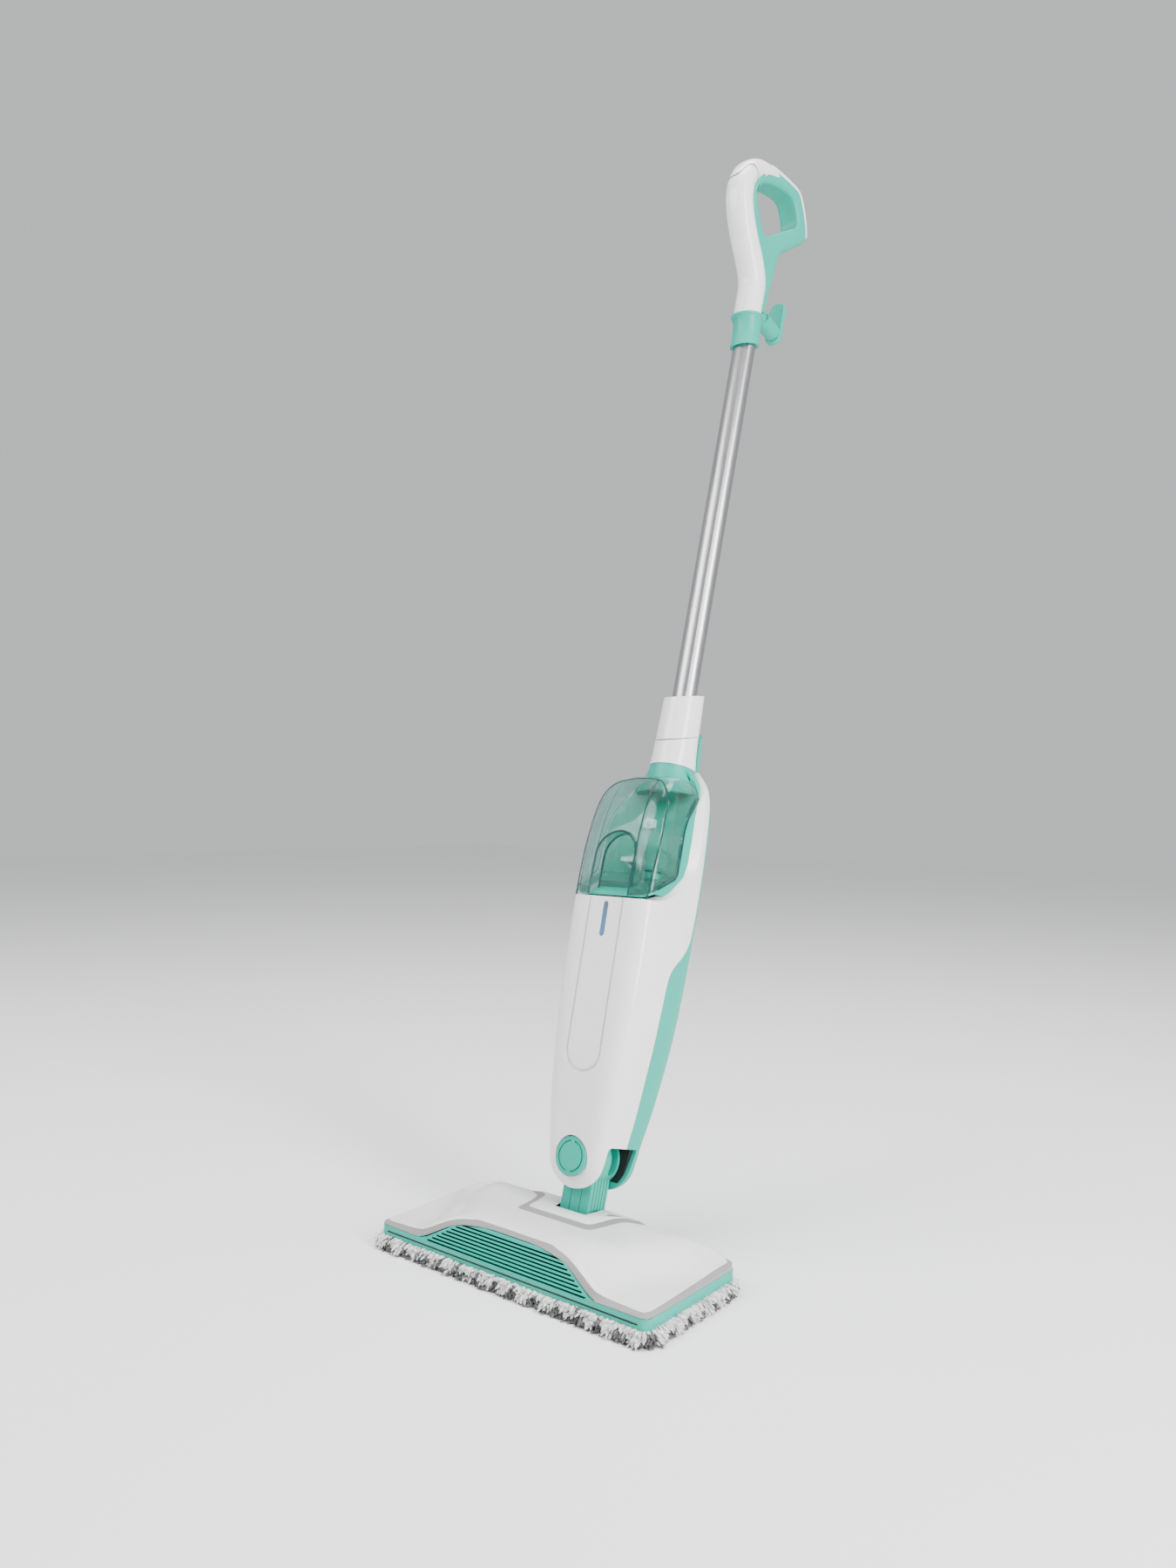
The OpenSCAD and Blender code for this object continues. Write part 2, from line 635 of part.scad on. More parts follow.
// The hook's stem points straight back from the foot of the grip
hook_root = [0, 12, 954];
hook_r = 9;
stem_y = [2.4, 37];      // start and end of the stem behind the hook's root
paddle_up = 14;          // how far the paddle's middle is above the stem
paddle_half = 16;        // from the paddle's middle to the middle of each round end
paddle_r = 10;
hook_pin_r = 3;
hook_pin_y = 20;

module hook_pin() color(teal) leaning() translate(hook_root) {
    rod_y([0, -4, 0], hook_pin_r, hook_pin_y + 4);
    rod_y([0, 0.5, 0], hook_r - 0.5, 1.4);
}

module cord_hook() color(teal) leaning() translate(hook_root) difference() {
    union() {
        rod_y([0, stem_y[0], 0], hook_r, stem_y[1] - stem_y[0]);
        hook_paddle();
    }
    rod_y([0, 0, 0], hook_pin_r + fit, hook_pin_y + 0.5);
}

// A flat plate with round ends, whose lower half meets the stem
module hook_paddle() translate([0, stem_y[1], paddle_up]) {
    translate([-paddle_r, 0, -paddle_half]) cube([2 * paddle_r, 5, 2 * paddle_half]);
    for (z = [-paddle_half, paddle_half]) rod_y([0, 0, z], paddle_r, 5);
}

// ---- Tank (lean frame) ----
cap_at = [29, -42];
cap_z = 304.6;
recess_r = 22.5;
recess_z = 322;
recess_y = -52;

module tank_inside() intersection() {
    body_loft(2.4, 281, 421);
    across([[-90, 284.5], [-67, 284.5], [-31.2, 311.5], [-29.2, 362], [-7.5, 397], [-11, 421], [-90, 421]]);
}

// Arched recess in the tank's front for a hand
module finger_recess(extra) {
    rod_y([0, -80, recess_z], recess_r + extra, 80 + recess_y + extra);
    translate([-recess_r - extra, -80, 270]) cube([2 * (recess_r + extra), 80 + recess_y + extra, 52]);
}

module cap_boss() intersection() {
    rod_z([cap_at[0], cap_at[1], 280], 10.6, 34);
    tank_outside();
}

module tank_outside() intersection() {
    body_loft(0.2, 281, 423.4);
    bay_space(-gap);
}

module tank_shell() color([0.55, 0.85, 0.8, 0.5]) leaning() difference() {
    tank_outside();
    difference() {
        tank_inside();
        finger_recess(2);
        cap_boss();
    }
    finger_recess(0);
    rod_z([cap_at[0], cap_at[1], 270], 8 + fit, cap_z + 7.2 - 270);
    rod_z([cap_at[0], cap_at[1], 270], 6.6, 60);
    rod_y([0, -40, valve_z], 4, 30);
}

module tank_spigot() color(white) leaning() difference() {
    union() {
        rod_y([0, -34, valve_z], 7, 3);
        rod_y([0, -34, valve_z], 4, 13);
        for (x = [-6.5, 4.5]) translate([x, -46, valve_z - 2]) cube([2, 13, 4]);
        translate([-6.5, -46, valve_z - 2]) cube([13, 2, 4]);
    }
    rod_y([0, -40, valve_z], 2.5 + fit, 30);
}

module cap_seal() color(dark) leaning() pipe_z([cap_at[0], cap_at[1], cap_z + 5.7], 8, 6.3, 1.5);

module filler_cap() color(teal) leaning() difference() {
    union() {
        rod_z([cap_at[0], cap_at[1], cap_z], 8, 5.4);
        rod_z([cap_at[0], cap_at[1], cap_z], 6, 9);
    }
    translate([cap_at[0], cap_at[1], cap_z]) cube([12, 1.6, 2.4], center = true);
}

module valve_poppet() color(dark) leaning() {
    rod_y([0, -36, valve_z], 3.9, 1.7);
    rod_y([0, -36, valve_z], 2.5, 14);
}

// The valve's spring at its shortest, against the spigot's bridge
module valve_spring() color(metal) leaning() difference() {
    rod_y([0, -43.8, valve_z], 3.4, 4.2);
    rod_y([0, -45, valve_z], 2.6, 12);
}

mop_pad();
pad_strips();
sole_plate();
base_tray();
head_cover();
pivot_brackets();
pitch_axle();
steam_nozzle();
head_hose();
head_screws();
neck_yoke();
pitch_bushes();
roll_bushes();
neck_hose();
front_cover();
rear_cover();
pivot_cap();
roll_axle();
axle_clip();
light_guide();
lamp_board();
boiler();
heating_rods();
boiler_jacket();
thermostat();
thermal_fuse();
steam_outlet();
pressure_hose();
pump_coil();
pump_tube();
pump_mounts();
inlet_hose();
power_board();
tank_bay();
valve_seat();
cord_gland();
body_screws();
lower_sleeve();
upper_sleeve();
sleeve_screws();
tube();
tube_liner();
collar();
handle_spine();
top_cap();
grip();
handle_screws();
hook_pin();
tank_shell();
tank_spigot();
cap_seal();
filler_cap();
valve_poppet();
valve_spring();
cord_hook();
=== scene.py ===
"""Looks of the steam mop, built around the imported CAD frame.

Most shapes are worked out in millimetres in the lean frame: z runs up the tube's axis, y is the distance
behind that axis and x is across. LEAN_TO_ROW turns them into metres in the row frame. The mop head's
shapes are worked out in millimetres in the row frame itself.
"""
import json
import random
from bisect import bisect_right
from math import atan2, copysign, cos, hypot, pi, radians, sin, sqrt, tanh

import bmesh
import bpy
import numpy as np
from mathutils import Matrix, Vector, noise


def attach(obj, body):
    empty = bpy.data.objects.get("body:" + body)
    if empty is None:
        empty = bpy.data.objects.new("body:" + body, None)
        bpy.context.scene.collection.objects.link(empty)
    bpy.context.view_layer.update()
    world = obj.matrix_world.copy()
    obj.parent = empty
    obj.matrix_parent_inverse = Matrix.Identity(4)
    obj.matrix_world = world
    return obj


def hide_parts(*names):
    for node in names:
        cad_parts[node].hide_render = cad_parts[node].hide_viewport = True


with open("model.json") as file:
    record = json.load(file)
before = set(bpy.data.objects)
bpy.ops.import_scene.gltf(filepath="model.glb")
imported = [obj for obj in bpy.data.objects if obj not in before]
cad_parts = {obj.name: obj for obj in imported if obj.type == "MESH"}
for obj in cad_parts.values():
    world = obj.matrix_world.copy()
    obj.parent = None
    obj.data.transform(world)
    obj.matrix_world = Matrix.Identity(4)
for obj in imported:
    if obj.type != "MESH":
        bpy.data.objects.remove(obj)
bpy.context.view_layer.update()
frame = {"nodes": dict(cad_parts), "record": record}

MM = 0.001
REACH = 70      # half the length of a tool that cuts right across the body
JOINTS = {j["name"]: j for j in frame["record"]["behaviour"]["joints"]}

# ---- The lean frame, from the axis of the joint that lets the body roll ----
ROLL_Z = 53.4
ROLL_Y = -23.0
ROLL_AXIS = Vector(JOINTS["body_roll"]["axis"])
LEAN = atan2(-ROLL_AXIS.z, ROLL_AXIS.y)
TO_ROW = Matrix.Rotation(-LEAN, 4, "X")
FOOT = Vector(JOINTS["body_roll"]["pos_m"]) - TO_ROW @ Vector((0, ROLL_Y, ROLL_Z)) * MM
LEAN_TO_ROW = Matrix.Translation(FOOT) @ TO_ROW @ Matrix.Scale(MM, 4)
ROW_MM = Matrix.Scale(MM, 4)

# ---- Camera at the photograph's angle ----
CAMERA_AT = (0.623, -0.7295, 0.3965)
CAMERA_AZIMUTH = radians(38.89)
CAMERA_PITCH = radians(-1.12)
CAMERA_ROLL = radians(0.77)
CAMERA_LENS = 25.51


def add_object(name, data):
    thing = bpy.data.objects.new(name, data)
    bpy.context.collection.objects.link(thing)
    return thing


def make_camera():
    a, p, r = CAMERA_AZIMUTH, CAMERA_PITCH, CAMERA_ROLL
    forward = Vector((-sin(a) * cos(p), cos(a) * cos(p), -sin(p)))
    right = Vector((cos(a), sin(a), 0))
    up = right.cross(forward)
    right, up = right * cos(r) + up * sin(r), up * cos(r) - right * sin(r)
    data = bpy.data.cameras.new("camera")
    data.lens = CAMERA_LENS
    camera = add_object("camera", data)
    turn = Matrix((right, up, -forward)).transposed().to_4x4()
    camera.matrix_world = Matrix.Translation(CAMERA_AT) @ turn
    bpy.context.scene.camera = camera


# ---- Light and floor ----
SKY = (0.97, 0.985, 1.0)
SKY_STRENGTH = 0.66
# Each lamp: name, place, target and size in metres, power in watts.
LAMPS = [("key", (-0.9, -1.5, 1.9), (0, 0, 0.4), (1.2, 1.2), 42),
         ("side", (1.9, -0.2, 1.1), (0, 0.1, 0.5), (0.5, 1.8), 80),
         ("top", (0.1, 0.2, 2.6), (0, 0.1, 0), (1.4, 1.4), 60)]
FLOOR_SIZE = 14


def area_light(name, place, target, size, power):
    data = bpy.data.lights.new(name, "AREA")
    data.shape = "RECTANGLE"
    data.size, data.size_y = size
    data.energy = power
    aim = (Vector(target) - Vector(place)).to_track_quat("-Z", "Y")
    add_object(name, data).matrix_world = Matrix.Translation(place) @ aim.to_matrix().to_4x4()


def make_studio():
    world = bpy.data.worlds.new("studio")
    world.use_nodes = True
    background = world.node_tree.nodes["Background"]
    background.inputs["Color"].default_value = (*SKY, 1)
    background.inputs["Strength"].default_value = SKY_STRENGTH
    bpy.context.scene.world = world
    for lamp in LAMPS:
        area_light(*lamp)
    bpy.ops.mesh.primitive_plane_add(size=FLOOR_SIZE)
    floor = bpy.context.object
    floor.name = "floor"
    floor.data.materials.append(floor_material())


# ---- Materials ----
EDGE_RADIUS = 0.0006
GRAIN_SCALE = 900
GRAIN_DEPTH = 0.00004
STREAK = (60, 60, 1.5)


def new_material(name):
    material = bpy.data.materials.new(name)
    material.use_nodes = True
    return material, material.node_tree, material.node_tree.nodes["Principled BSDF"]


def noise_node(tree, scale, detail=4, rough=0.5):
    place = tree.nodes.new("ShaderNodeTexCoord")
    texture = tree.nodes.new("ShaderNodeTexNoise")
    texture.inputs["Scale"].default_value = scale
    texture.inputs["Detail"].default_value = detail
    texture.inputs["Roughness"].default_value = rough
    tree.links.new(place.outputs["Object"], texture.inputs["Vector"])
    return texture


def tone(tree, shader, texture, colours, rough, stops=(0.3, 0.7)):
    """Lets a noise texture move the colour between two colours and the roughness between two values."""
    ramp = tree.nodes.new("ShaderNodeValToRGB")
    tree.links.new(texture.outputs["Fac"], ramp.inputs["Fac"])
    for element, at, colour in zip(ramp.color_ramp.elements, stops, colours):
        element.position = at
        element.color = (*colour, 1)
    tree.links.new(ramp.outputs["Color"], shader.inputs["Base Color"])
    span = tree.nodes.new("ShaderNodeMapRange")
    span.inputs["To Min"].default_value, span.inputs["To Max"].default_value = rough
    tree.links.new(texture.outputs["Fac"], span.inputs["Value"])
    tree.links.new(span.outputs["Result"], shader.inputs["Roughness"])


def add_bump(tree, shader, texture, strength, distance, edge=EDGE_RADIUS):
    """A surface grain, and edges that catch the light as if they were rounded."""
    bump = tree.nodes.new("ShaderNodeBump")
    bump.inputs["Strength"].default_value = strength
    bump.inputs["Distance"].default_value = distance
    tree.links.new(texture.outputs["Fac"], bump.inputs["Height"])
    if edge:
        bevel = tree.nodes.new("ShaderNodeBevel")
        bevel.samples = 4
        bevel.inputs["Radius"].default_value = edge
        tree.links.new(bevel.outputs["Normal"], bump.inputs["Normal"])
    tree.links.new(bump.outputs["Normal"], shader.inputs["Normal"])


def shade_of(colour, factor):
    return tuple(min(1.0, c * factor) for c in colour)


def plastic(name, colour, rough, coat=0.0):
    """Moulded plastic: a faint mottle in colour and gloss over a very fine surface grain."""
    material, tree, shader = new_material(name)
    tone(tree, shader, noise_node(tree, 18), (shade_of(colour, 0.97), shade_of(colour, 1.02)),
         (rough * 0.85, rough * 1.2))
    shader.inputs["Specular IOR Level"].default_value = 0.3
    shader.inputs["Coat Weight"].default_value = coat
    shader.inputs["Coat Roughness"].default_value = 0.08
    add_bump(tree, shader, noise_node(tree, GRAIN_SCALE, 2), 0.25, GRAIN_DEPTH)
    return material


def metal(name, colour, rough, anisotropy=0.0):
    """Drawn or brushed metal: fine streaks that run along the tube's axis."""
    material, tree, shader = new_material(name)
    place = tree.nodes.new("ShaderNodeTexCoord")
    mapping = tree.nodes.new("ShaderNodeMapping")
    mapping.inputs["Rotation"].default_value = (LEAN, 0, 0)
    mapping.inputs["Scale"].default_value = STREAK
    tree.links.new(place.outputs["Object"], mapping.inputs["Vector"])
    texture = tree.nodes.new("ShaderNodeTexNoise")
    texture.inputs["Scale"].default_value = 14
    texture.inputs["Detail"].default_value = 6
    tree.links.new(mapping.outputs["Vector"], texture.inputs["Vector"])
    tone(tree, shader, texture, (shade_of(colour, 0.93), shade_of(colour, 1.04)), (rough * 0.8, rough * 1.25))
    shader.inputs["Metallic"].default_value = 1
    shader.inputs["Anisotropic"].default_value = anisotropy
    add_bump(tree, shader, texture, 0.1, 0.00003)
    return material


def clear_plastic(name, colour, rough=0.03, clear=1.0):
    material, tree, shader = new_material(name)
    tone(tree, shader, noise_node(tree, 25), (shade_of(colour, 0.98), shade_of(colour, 1.01)),
         (rough * 0.7, rough * 1.4))
    shader.inputs["Transmission Weight"].default_value = clear
    shader.inputs["IOR"].default_value = 1.3
    shader.inputs["Alpha"].default_value = 0.8
    return material


def fabric(name, dark, light, scale):
    """Microfibre: two tones in patches, with a fuzzy sheen."""
    material, tree, shader = new_material(name)
    tone(tree, shader, noise_node(tree, scale, 5, 0.6), (dark, light), (0.9025, 0.95), (0.38, 0.62))
    shader.inputs["Sheen Weight"].default_value = 0.25
    add_bump(tree, shader, noise_node(tree, 1500, 3), 0.5, 0.0003, edge=0)
    return material


def floor_material():
    material, tree, shader = new_material("pale_floor")
    tone(tree, shader, noise_node(tree, 3), ((0.93, 0.93, 0.93), (0.95, 0.95, 0.95)), (0.7, 0.8))
    return material


WHITE = (0.80, 0.795, 0.79)
TEAL = (0.008, 0.365, 0.275)
RIM_GREY = (0.27, 0.262, 0.26)


def make_materials():
    return {
        "white": plastic("white_gloss_plastic", WHITE, 0.24, 0.35),
        "rim": plastic("grey_rim_plastic", RIM_GREY, 0.35, 0.1),
        "teal": plastic("teal_plastic", TEAL, 0.4, 0.0),
        "seam": plastic("seam_grey_plastic", (0.2, 0.195, 0.19), 0.5),
        # A darker copy of the teal, painted as shade on the ribs deep in the neck's windows.
        "teal_painted_shade": plastic("teal_painted_shade_plastic", (0.03, 0.25, 0.2), 0.4),
        "clear": clear_plastic("clear_teal_plastic", (0.66, 0.965, 0.92)),
        # Near-black clear plastic for the lines of painted shade along the tank's edges, creases and recess.
        "bead": clear_plastic("clear_edge_shade_plastic", (0.012, 0.075, 0.07), 0.15, 0.15),
        "lens": clear_plastic("blue_lens_plastic", (0.22, 0.42, 0.72), 0.2, 0.45),
        "black": plastic("black_plastic", (0.012, 0.013, 0.014), 0.5),
        "dark": plastic("dark_plastic", (0.05, 0.055, 0.06), 0.5),
        "aluminium": metal("brushed_aluminium", (0.42, 0.42, 0.43), 0.3, anisotropy=0.3),
        "steel": metal("steel", (0.58, 0.58, 0.6), 0.3),
        "brass": metal("sintered_brass", (0.62, 0.45, 0.2), 0.4),
        "rubber": plastic("hose_rubber", (0.02, 0.02, 0.021), 0.65),
        "insulation": fabric("insulation_felt", (0.45, 0.42, 0.33), (0.62, 0.6, 0.5), 120),
        "board": plastic("circuit_board_green", (0.02, 0.12, 0.05), 0.3),
        "pad_core": fabric("pad_weave", (0.30, 0.30, 0.31), (0.50, 0.50, 0.50), 160),
        "pile_light": fabric("pile_light", (0.42, 0.415, 0.41), (0.80, 0.795, 0.79), 260),
        # A near-black copy of the pile, painted as shade on the low strands.
        "pile_painted_shade": fabric("pile_painted_shade", (0.035, 0.036, 0.04), (0.17, 0.17, 0.175), 260),
    }


SLOT_MATERIAL = {
    "white_plastic": "white", "teal_plastic": "teal", "clear_teal": "clear", "blue_lens": "lens",
    "dark_plastic": "dark", "aluminium": "aluminium", "steel": "steel", "brass": "brass",
    "hose_rubber": "rubber", "insulation": "insulation", "green_board": "board", "pad_fabric": "pad_core",
}


def paint_frame():
    """Every CAD node gets the procedural material of its slot."""
    for part in frame["record"]["subparts"]:
        node = frame["nodes"][part["node"]]
        node.data.materials.clear()
        node.data.materials.append(MATERIALS[SLOT_MATERIAL[part["material_slot"]]])


# ---- Curves and meshes ----
def smooth(table, x):
    """The value at x on a smooth curve through a table of (x, value) pairs."""
    xs = [p[0] for p in table]
    k = min(max(bisect_right(xs, x) - 1, 0), len(xs) - 2)
    (x0, v0), (x1, v1) = table[k], table[k + 1]

    def slope(i):
        a, b = table[max(i - 1, 0)], table[min(i + 1, len(table) - 1)]
        return (b[1] - a[1]) / (b[0] - a[0])

    h = x1 - x0
    t = min(max((x - x0) / h, 0), 1)
    return ((2 * t**3 - 3 * t**2 + 1) * v0 + (t**3 - 2 * t**2 + t) * h * slope(k)
            + (3 * t**2 - 2 * t**3) * v1 + (t**3 - t**2) * h * slope(k + 1))


def curve(points, steps=8, closed=False):
    """A Catmull-Rom curve through the points, in any number of dimensions."""
    pts = [np.array(p, float) for p in points]
    n = len(pts)
    out = []
    for k in range(n if closed else n - 1):
        if closed:
            a, b, c, d = (pts[(k + i - 1) % n] for i in range(4))
        else:
            a, b, c, d = (pts[min(max(k + i - 1, 0), n - 1)] for i in range(4))
        for i in range(steps):
            t = i / steps
            out.append(0.5 * (2 * b + (c - a) * t + (2 * a - 5 * b + 4 * c - d) * t**2
                              + (3 * b - a - 3 * c + d) * t**3))
    if not closed:
        out.append(pts[-1])
    return out


def even(points, count):
    """The same closed outline, as points at equal distances along it."""
    pts = np.array([*points, points[0]], float)
    run = np.concatenate([[0], np.cumsum(np.linalg.norm(np.diff(pts, axis=0), axis=1))])
    at = np.linspace(0, run[-1], count + 1)[:-1]
    return np.stack([np.interp(at, run, column) for column in pts.T], axis=1)


def spread(low, high, steps):
    return [low + (high - low) * k / steps for k in range(steps + 1)]


def circle(radius, sides):
    return [(radius * cos(2 * pi * i / sides), radius * sin(2 * pi * i / sides))
            for i in range(sides)]


def box(u0, v0, u1, v1):
    return [(u0, v0), (u1, v0), (u1, v1), (u0, v1)]


def signed_power(value, power):
    return copysign(abs(value)**power, value)


def rounded(points, radius, steps=5):
    """A closed outline with its corners rounded; radius is one number or one for each corner."""
    out = []
    n = len(points)
    for k in range(n):
        a, b, c = (np.array(points[(k + i - 1) % n], float) for i in range(3))
        r = radius[k] if isinstance(radius, (list, tuple)) else radius
        ra = min(r, np.linalg.norm(a - b) * 0.45)
        rc = min(r, np.linalg.norm(c - b) * 0.45)
        p = b + (a - b) / np.linalg.norm(a - b) * ra
        q = b + (c - b) / np.linalg.norm(c - b) * rc
        for i in range(steps + 1):
            t = i / steps
            out.append((1 - t)**2 * p + 2 * t * (1 - t) * b + t**2 * q)
    return out


def mesh_object(name, verts, faces):
    data = bpy.data.meshes.new(name)
    data.from_pydata([tuple(float(c) for c in v) for v in verts], [], faces)
    data.update()
    return add_object(name, data)


def tidy_normals(thing):
    mesh = bmesh.new()
    mesh.from_mesh(thing.data)
    bmesh.ops.remove_doubles(mesh, verts=mesh.verts, dist=1e-5)
    bmesh.ops.recalc_face_normals(mesh, faces=mesh.faces)
    mesh.to_mesh(thing.data)
    mesh.free()


def loft(name, rings, capped=True):
    """Rings of equal length joined by quads, with flat ends if capped."""
    n = len(rings[0])
    verts = [p for r in rings for p in r]
    faces = []
    for k in range(len(rings) - 1):
        for i in range(n):
            j = (i + 1) % n
            faces.append((k * n + i, k * n + j, (k + 1) * n + j, (k + 1) * n + i))
    if capped:
        faces.append(tuple(reversed(range(n))))
        faces.append(tuple((len(rings) - 1) * n + i for i in range(n)))
    thing = mesh_object(name, verts, faces)
    tidy_normals(thing)
    return thing


def prism(name, outline, axis, low=-REACH, high=REACH):
    """A closed outline made solid along x, y or z; its two numbers are the other two axes in order."""
    def place(p, at):
        return {"x": (at, p[0], p[1]), "y": (p[0], at, p[1]), "z": (p[0], p[1], at)}[axis]
    return loft(name, [[place(p, low) for p in outline], [place(p, high) for p in outline]])


def combine(target, tools, operation="DIFFERENCE"):
    """Cuts, joins or keeps what is shared, and throws the tools away."""
    for tool in tools if isinstance(tools, (list, tuple)) else [tools]:
        step = target.modifiers.new("cut", "BOOLEAN")
        step.operation = operation
        step.solver = "MANIFOLD"
        step.object = tool
        bake_modifiers(target)
        bpy.data.objects.remove(tool)
    return target


def baked_mesh(thing):
    graph = bpy.context.evaluated_depsgraph_get()
    return bpy.data.meshes.new_from_object(thing.evaluated_get(graph))


def bake_modifiers(thing):
    result = baked_mesh(thing)
    thing.modifiers.clear()
    thing.data = result


def cylinder(name, start, radius, length, axis="y", sides=96):
    base = start["xyz".index(axis)]
    u, v = (at for at, letter in zip(start, "xyz") if letter != axis)
    return prism(name, [(u + a, v + b) for a, b in circle(radius, sides)], axis, base, base + length)


def finish_piece(thing, material, body, nodes, matrix=LEAN_TO_ROW, sharp=32):
    """Puts a piece in its place in metres, gives it its material and ties it to the frame."""
    thing.data.transform(matrix)
    thing.data.materials.clear()
    thing.data.materials.append(MATERIALS[material])
    thing.data.shade_smooth()
    thing.data.set_sharp_from_angle(angle=radians(sharp))
    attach(thing, body)
    if nodes:
        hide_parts(*nodes)
    return thing


def plate(name, outlines, width, edge, steps=4):
    """A flat shape with rounded edges: outlines in a plane, the first outside and the rest holes,
    made width thick about the plane. It comes back with its plane's axes as x and y."""
    data = bpy.data.curves.new(name, "CURVE")
    data.dimensions = "2D"
    data.fill_mode = "BOTH"
    data.extrude = width / 2 - edge
    data.bevel_depth = edge
    data.bevel_resolution = steps
    data.offset = -edge
    for outline in outlines:
        line = data.splines.new("POLY")
        line.points.add(len(outline) - 1)
        for point, p in zip(line.points, outline):
            point.co = (p[0], p[1], 0, 1)
        line.use_cyclic_u = True
    holder = add_object(name + "_outline", data)
    mesh = baked_mesh(holder)
    bpy.data.objects.remove(holder)
    thing = add_object(name, mesh)
    tidy_normals(thing)
    return thing


# They stand a plate up: its x and y become the body's y and z, or its x and z.
SIDE_VIEW = Matrix(((0, 0, 1, 0), (1, 0, 0, 0), (0, 1, 0, 0), (0, 0, 0, 1)))
FRONT_VIEW = Matrix(((1, 0, 0, 0), (0, 0, -1, 0), (0, 1, 0, 0), (0, 0, 0, 1)))


def tube_along(name, path, radius):
    """A round bead along a path of points."""
    pts = [Vector(p) for p in path]
    rings = []
    side = None
    for k, p in enumerate(pts):
        along = (pts[min(k + 1, len(pts) - 1)] - pts[max(k - 1, 0)]).normalized()
        if side is None:
            side = along.orthogonal().normalized()
        side = (side - along * side.dot(along)).normalized()
        other = along.cross(side)
        rings.append([p + (side * c + other * s) * radius for c, s in circle(1, 8)])
    return loft(name, rings)


# ---- Stations of the body in the lean frame: (height, size), and side-view lines as (y, z) ----
HALF_WIDTH = [(27, 5), (28, 11), (30, 17), (35, 24.5), (40, 28.5), (46, 31), (60, 33), (73, 34.5),
              (94, 37.5), (125, 40.5), (160, 43.5), (200, 45.5), (250, 46.5), (300, 47), (340, 46.5),
              (378, 44), (400, 39.5), (412, 34), (424, 24)]
FRONT_DEPTH = [(27, 44), (46, 49), (60, 51.5), (94, 56), (125, 59), (160, 61.5), (240, 64.5), (282, 66),
               (341, 64), (378, 57), (400, 45), (412, 32), (424, 22)]
BACK_DEPTH = [(27, 4), (33, 6), (49, 11), (73, 14), (113, 21), (163, 27), (258, 31), (382, 31),
              (400, 31.5), (412, 31), (424, 28)]
SEAM = [(27, -17), (67, -17), (160, -15.5), (215, -14), (228, -10), (244, 4), (256, 11), (272, 14),
        (300, 15), (370, 15), (400, 18.5), (424, 20), (430, 20)]
BAY = [(-90, 281), (-70, 281), (-28, 309), (-26, 361), (-3, 397), (-8, 424), (-8, 432), (-90, 432)]
BAY_CORNERS = [0.1, 6, 12, 30, 10, 4, 0.1, 0.1]
NOSE_Z = 27
TOP_Z = 424
MID_Y = -10
FRONT_POWER, BACK_POWER = 3, 2
WALL = 2.2
AXLE_R = 5.2
DRUM_R = 22.5
CAP_R = 17
TUBE_HOLE_R = 15
GLAND_R = 8.9
SCREW_HEAD_R = 3.3
LIGHT_LOW, LIGHT_HIGH = 249, 275
RECESS_R = 22.5
RECESS_Z = 322
RECESS_Y = -52
BOSSES = [(x * (smooth(HALF_WIDTH, z) - 6), z) for x in (-1, 1) for z in (100, 200)]


def body_outline(z, inset=0.0):
    """One closed section of the body: nearly square in front, rounder behind."""
    half = smooth(HALF_WIDTH, z) - inset
    front = smooth(FRONT_DEPTH, z) + MID_Y - inset
    back = smooth(BACK_DEPTH, z) - MID_Y - inset
    outline = []
    for i in range(720):
        c, s = cos(pi * i / 360), sin(pi * i / 360)
        power, deep = (1 / FRONT_POWER, front) if s < 0 else (1 / BACK_POWER, back)
        outline.append((half * signed_power(c, power), MID_Y + deep * signed_power(s, power)))
    return even(outline, 176)


def body_loft(inset, low, high):
    """The body between two heights, with closer sections where its nose rounds."""
    heights = spread(low, high, 72)
    if low == NOSE_Z:
        heights = [low + 30 * (k / 18)**1.8 for k in range(18)] + spread(low + 30, high, 64)
    return loft("body", [[(x, y, z) for x, y in body_outline(z, inset)] for z in heights])


def copy_of(thing):
    return add_object(thing.name, thing.data.copy())


def seam_space(offset, side):
    """The space before (-1) or behind (1) the seam between the covers."""
    heights = [20, NOSE_Z] + [67 + 3 * k for k in range(122)]
    line = [(smooth(SEAM, max(z, NOSE_Z)) + offset, z) for z in heights]
    return prism("space", line + [(side * 100, heights[-1]), (side * 100, heights[0])], "x")


def bay_space(offset):
    line = [(y + offset, z - offset) for y, z in BAY]
    return prism("bay", rounded(line, BAY_CORNERS, 10), "x")


def oblong(radius, low, high, steps=32):
    """A front-view outline with a round end at the bottom and one at the top."""
    turn = [pi * i / steps for i in range(steps + 1)]
    return ([(-radius * cos(t), low - radius * sin(t)) for t in turn]
            + [(radius * cos(t), high + radius * sin(t)) for t in turn])


CRADLE_IN = [(-90, 281), (-70, 281), (-45, 287), (-27, 303), (-13, 317), (-9, 330), (-6, 379), (3, 396),
             (9, 410), (12, 432), (-90, 432)]
CRADLE_OUT = [(-90, 281), (-67, 281), (-41, 285), (-13, 303), (0, 319), (5, 335), (10.5, 380), (14.5, 398),
              (17, 412), (18, 432), (-90, 432)]
CRADLE_CORNERS = [0.1, 4, 14, 14, 14, 14, 24, 14, 10, 0.1, 0.1]


def cradle_space():
    """What the tank's cradle leaves free: wider at the body's outside, so its edge is a broad chamfer."""
    inner = rounded(CRADLE_IN, CRADLE_CORNERS, 8)
    outer = rounded(CRADLE_OUT, CRADLE_CORNERS, 8)
    sections = [(-REACH, outer), (-47.5, outer), (-38.5, inner), (38.5, inner), (47.5, outer), (REACH, outer)]
    return loft("cradle", [[(x, y, z) for y, z in line] for x, line in sections])


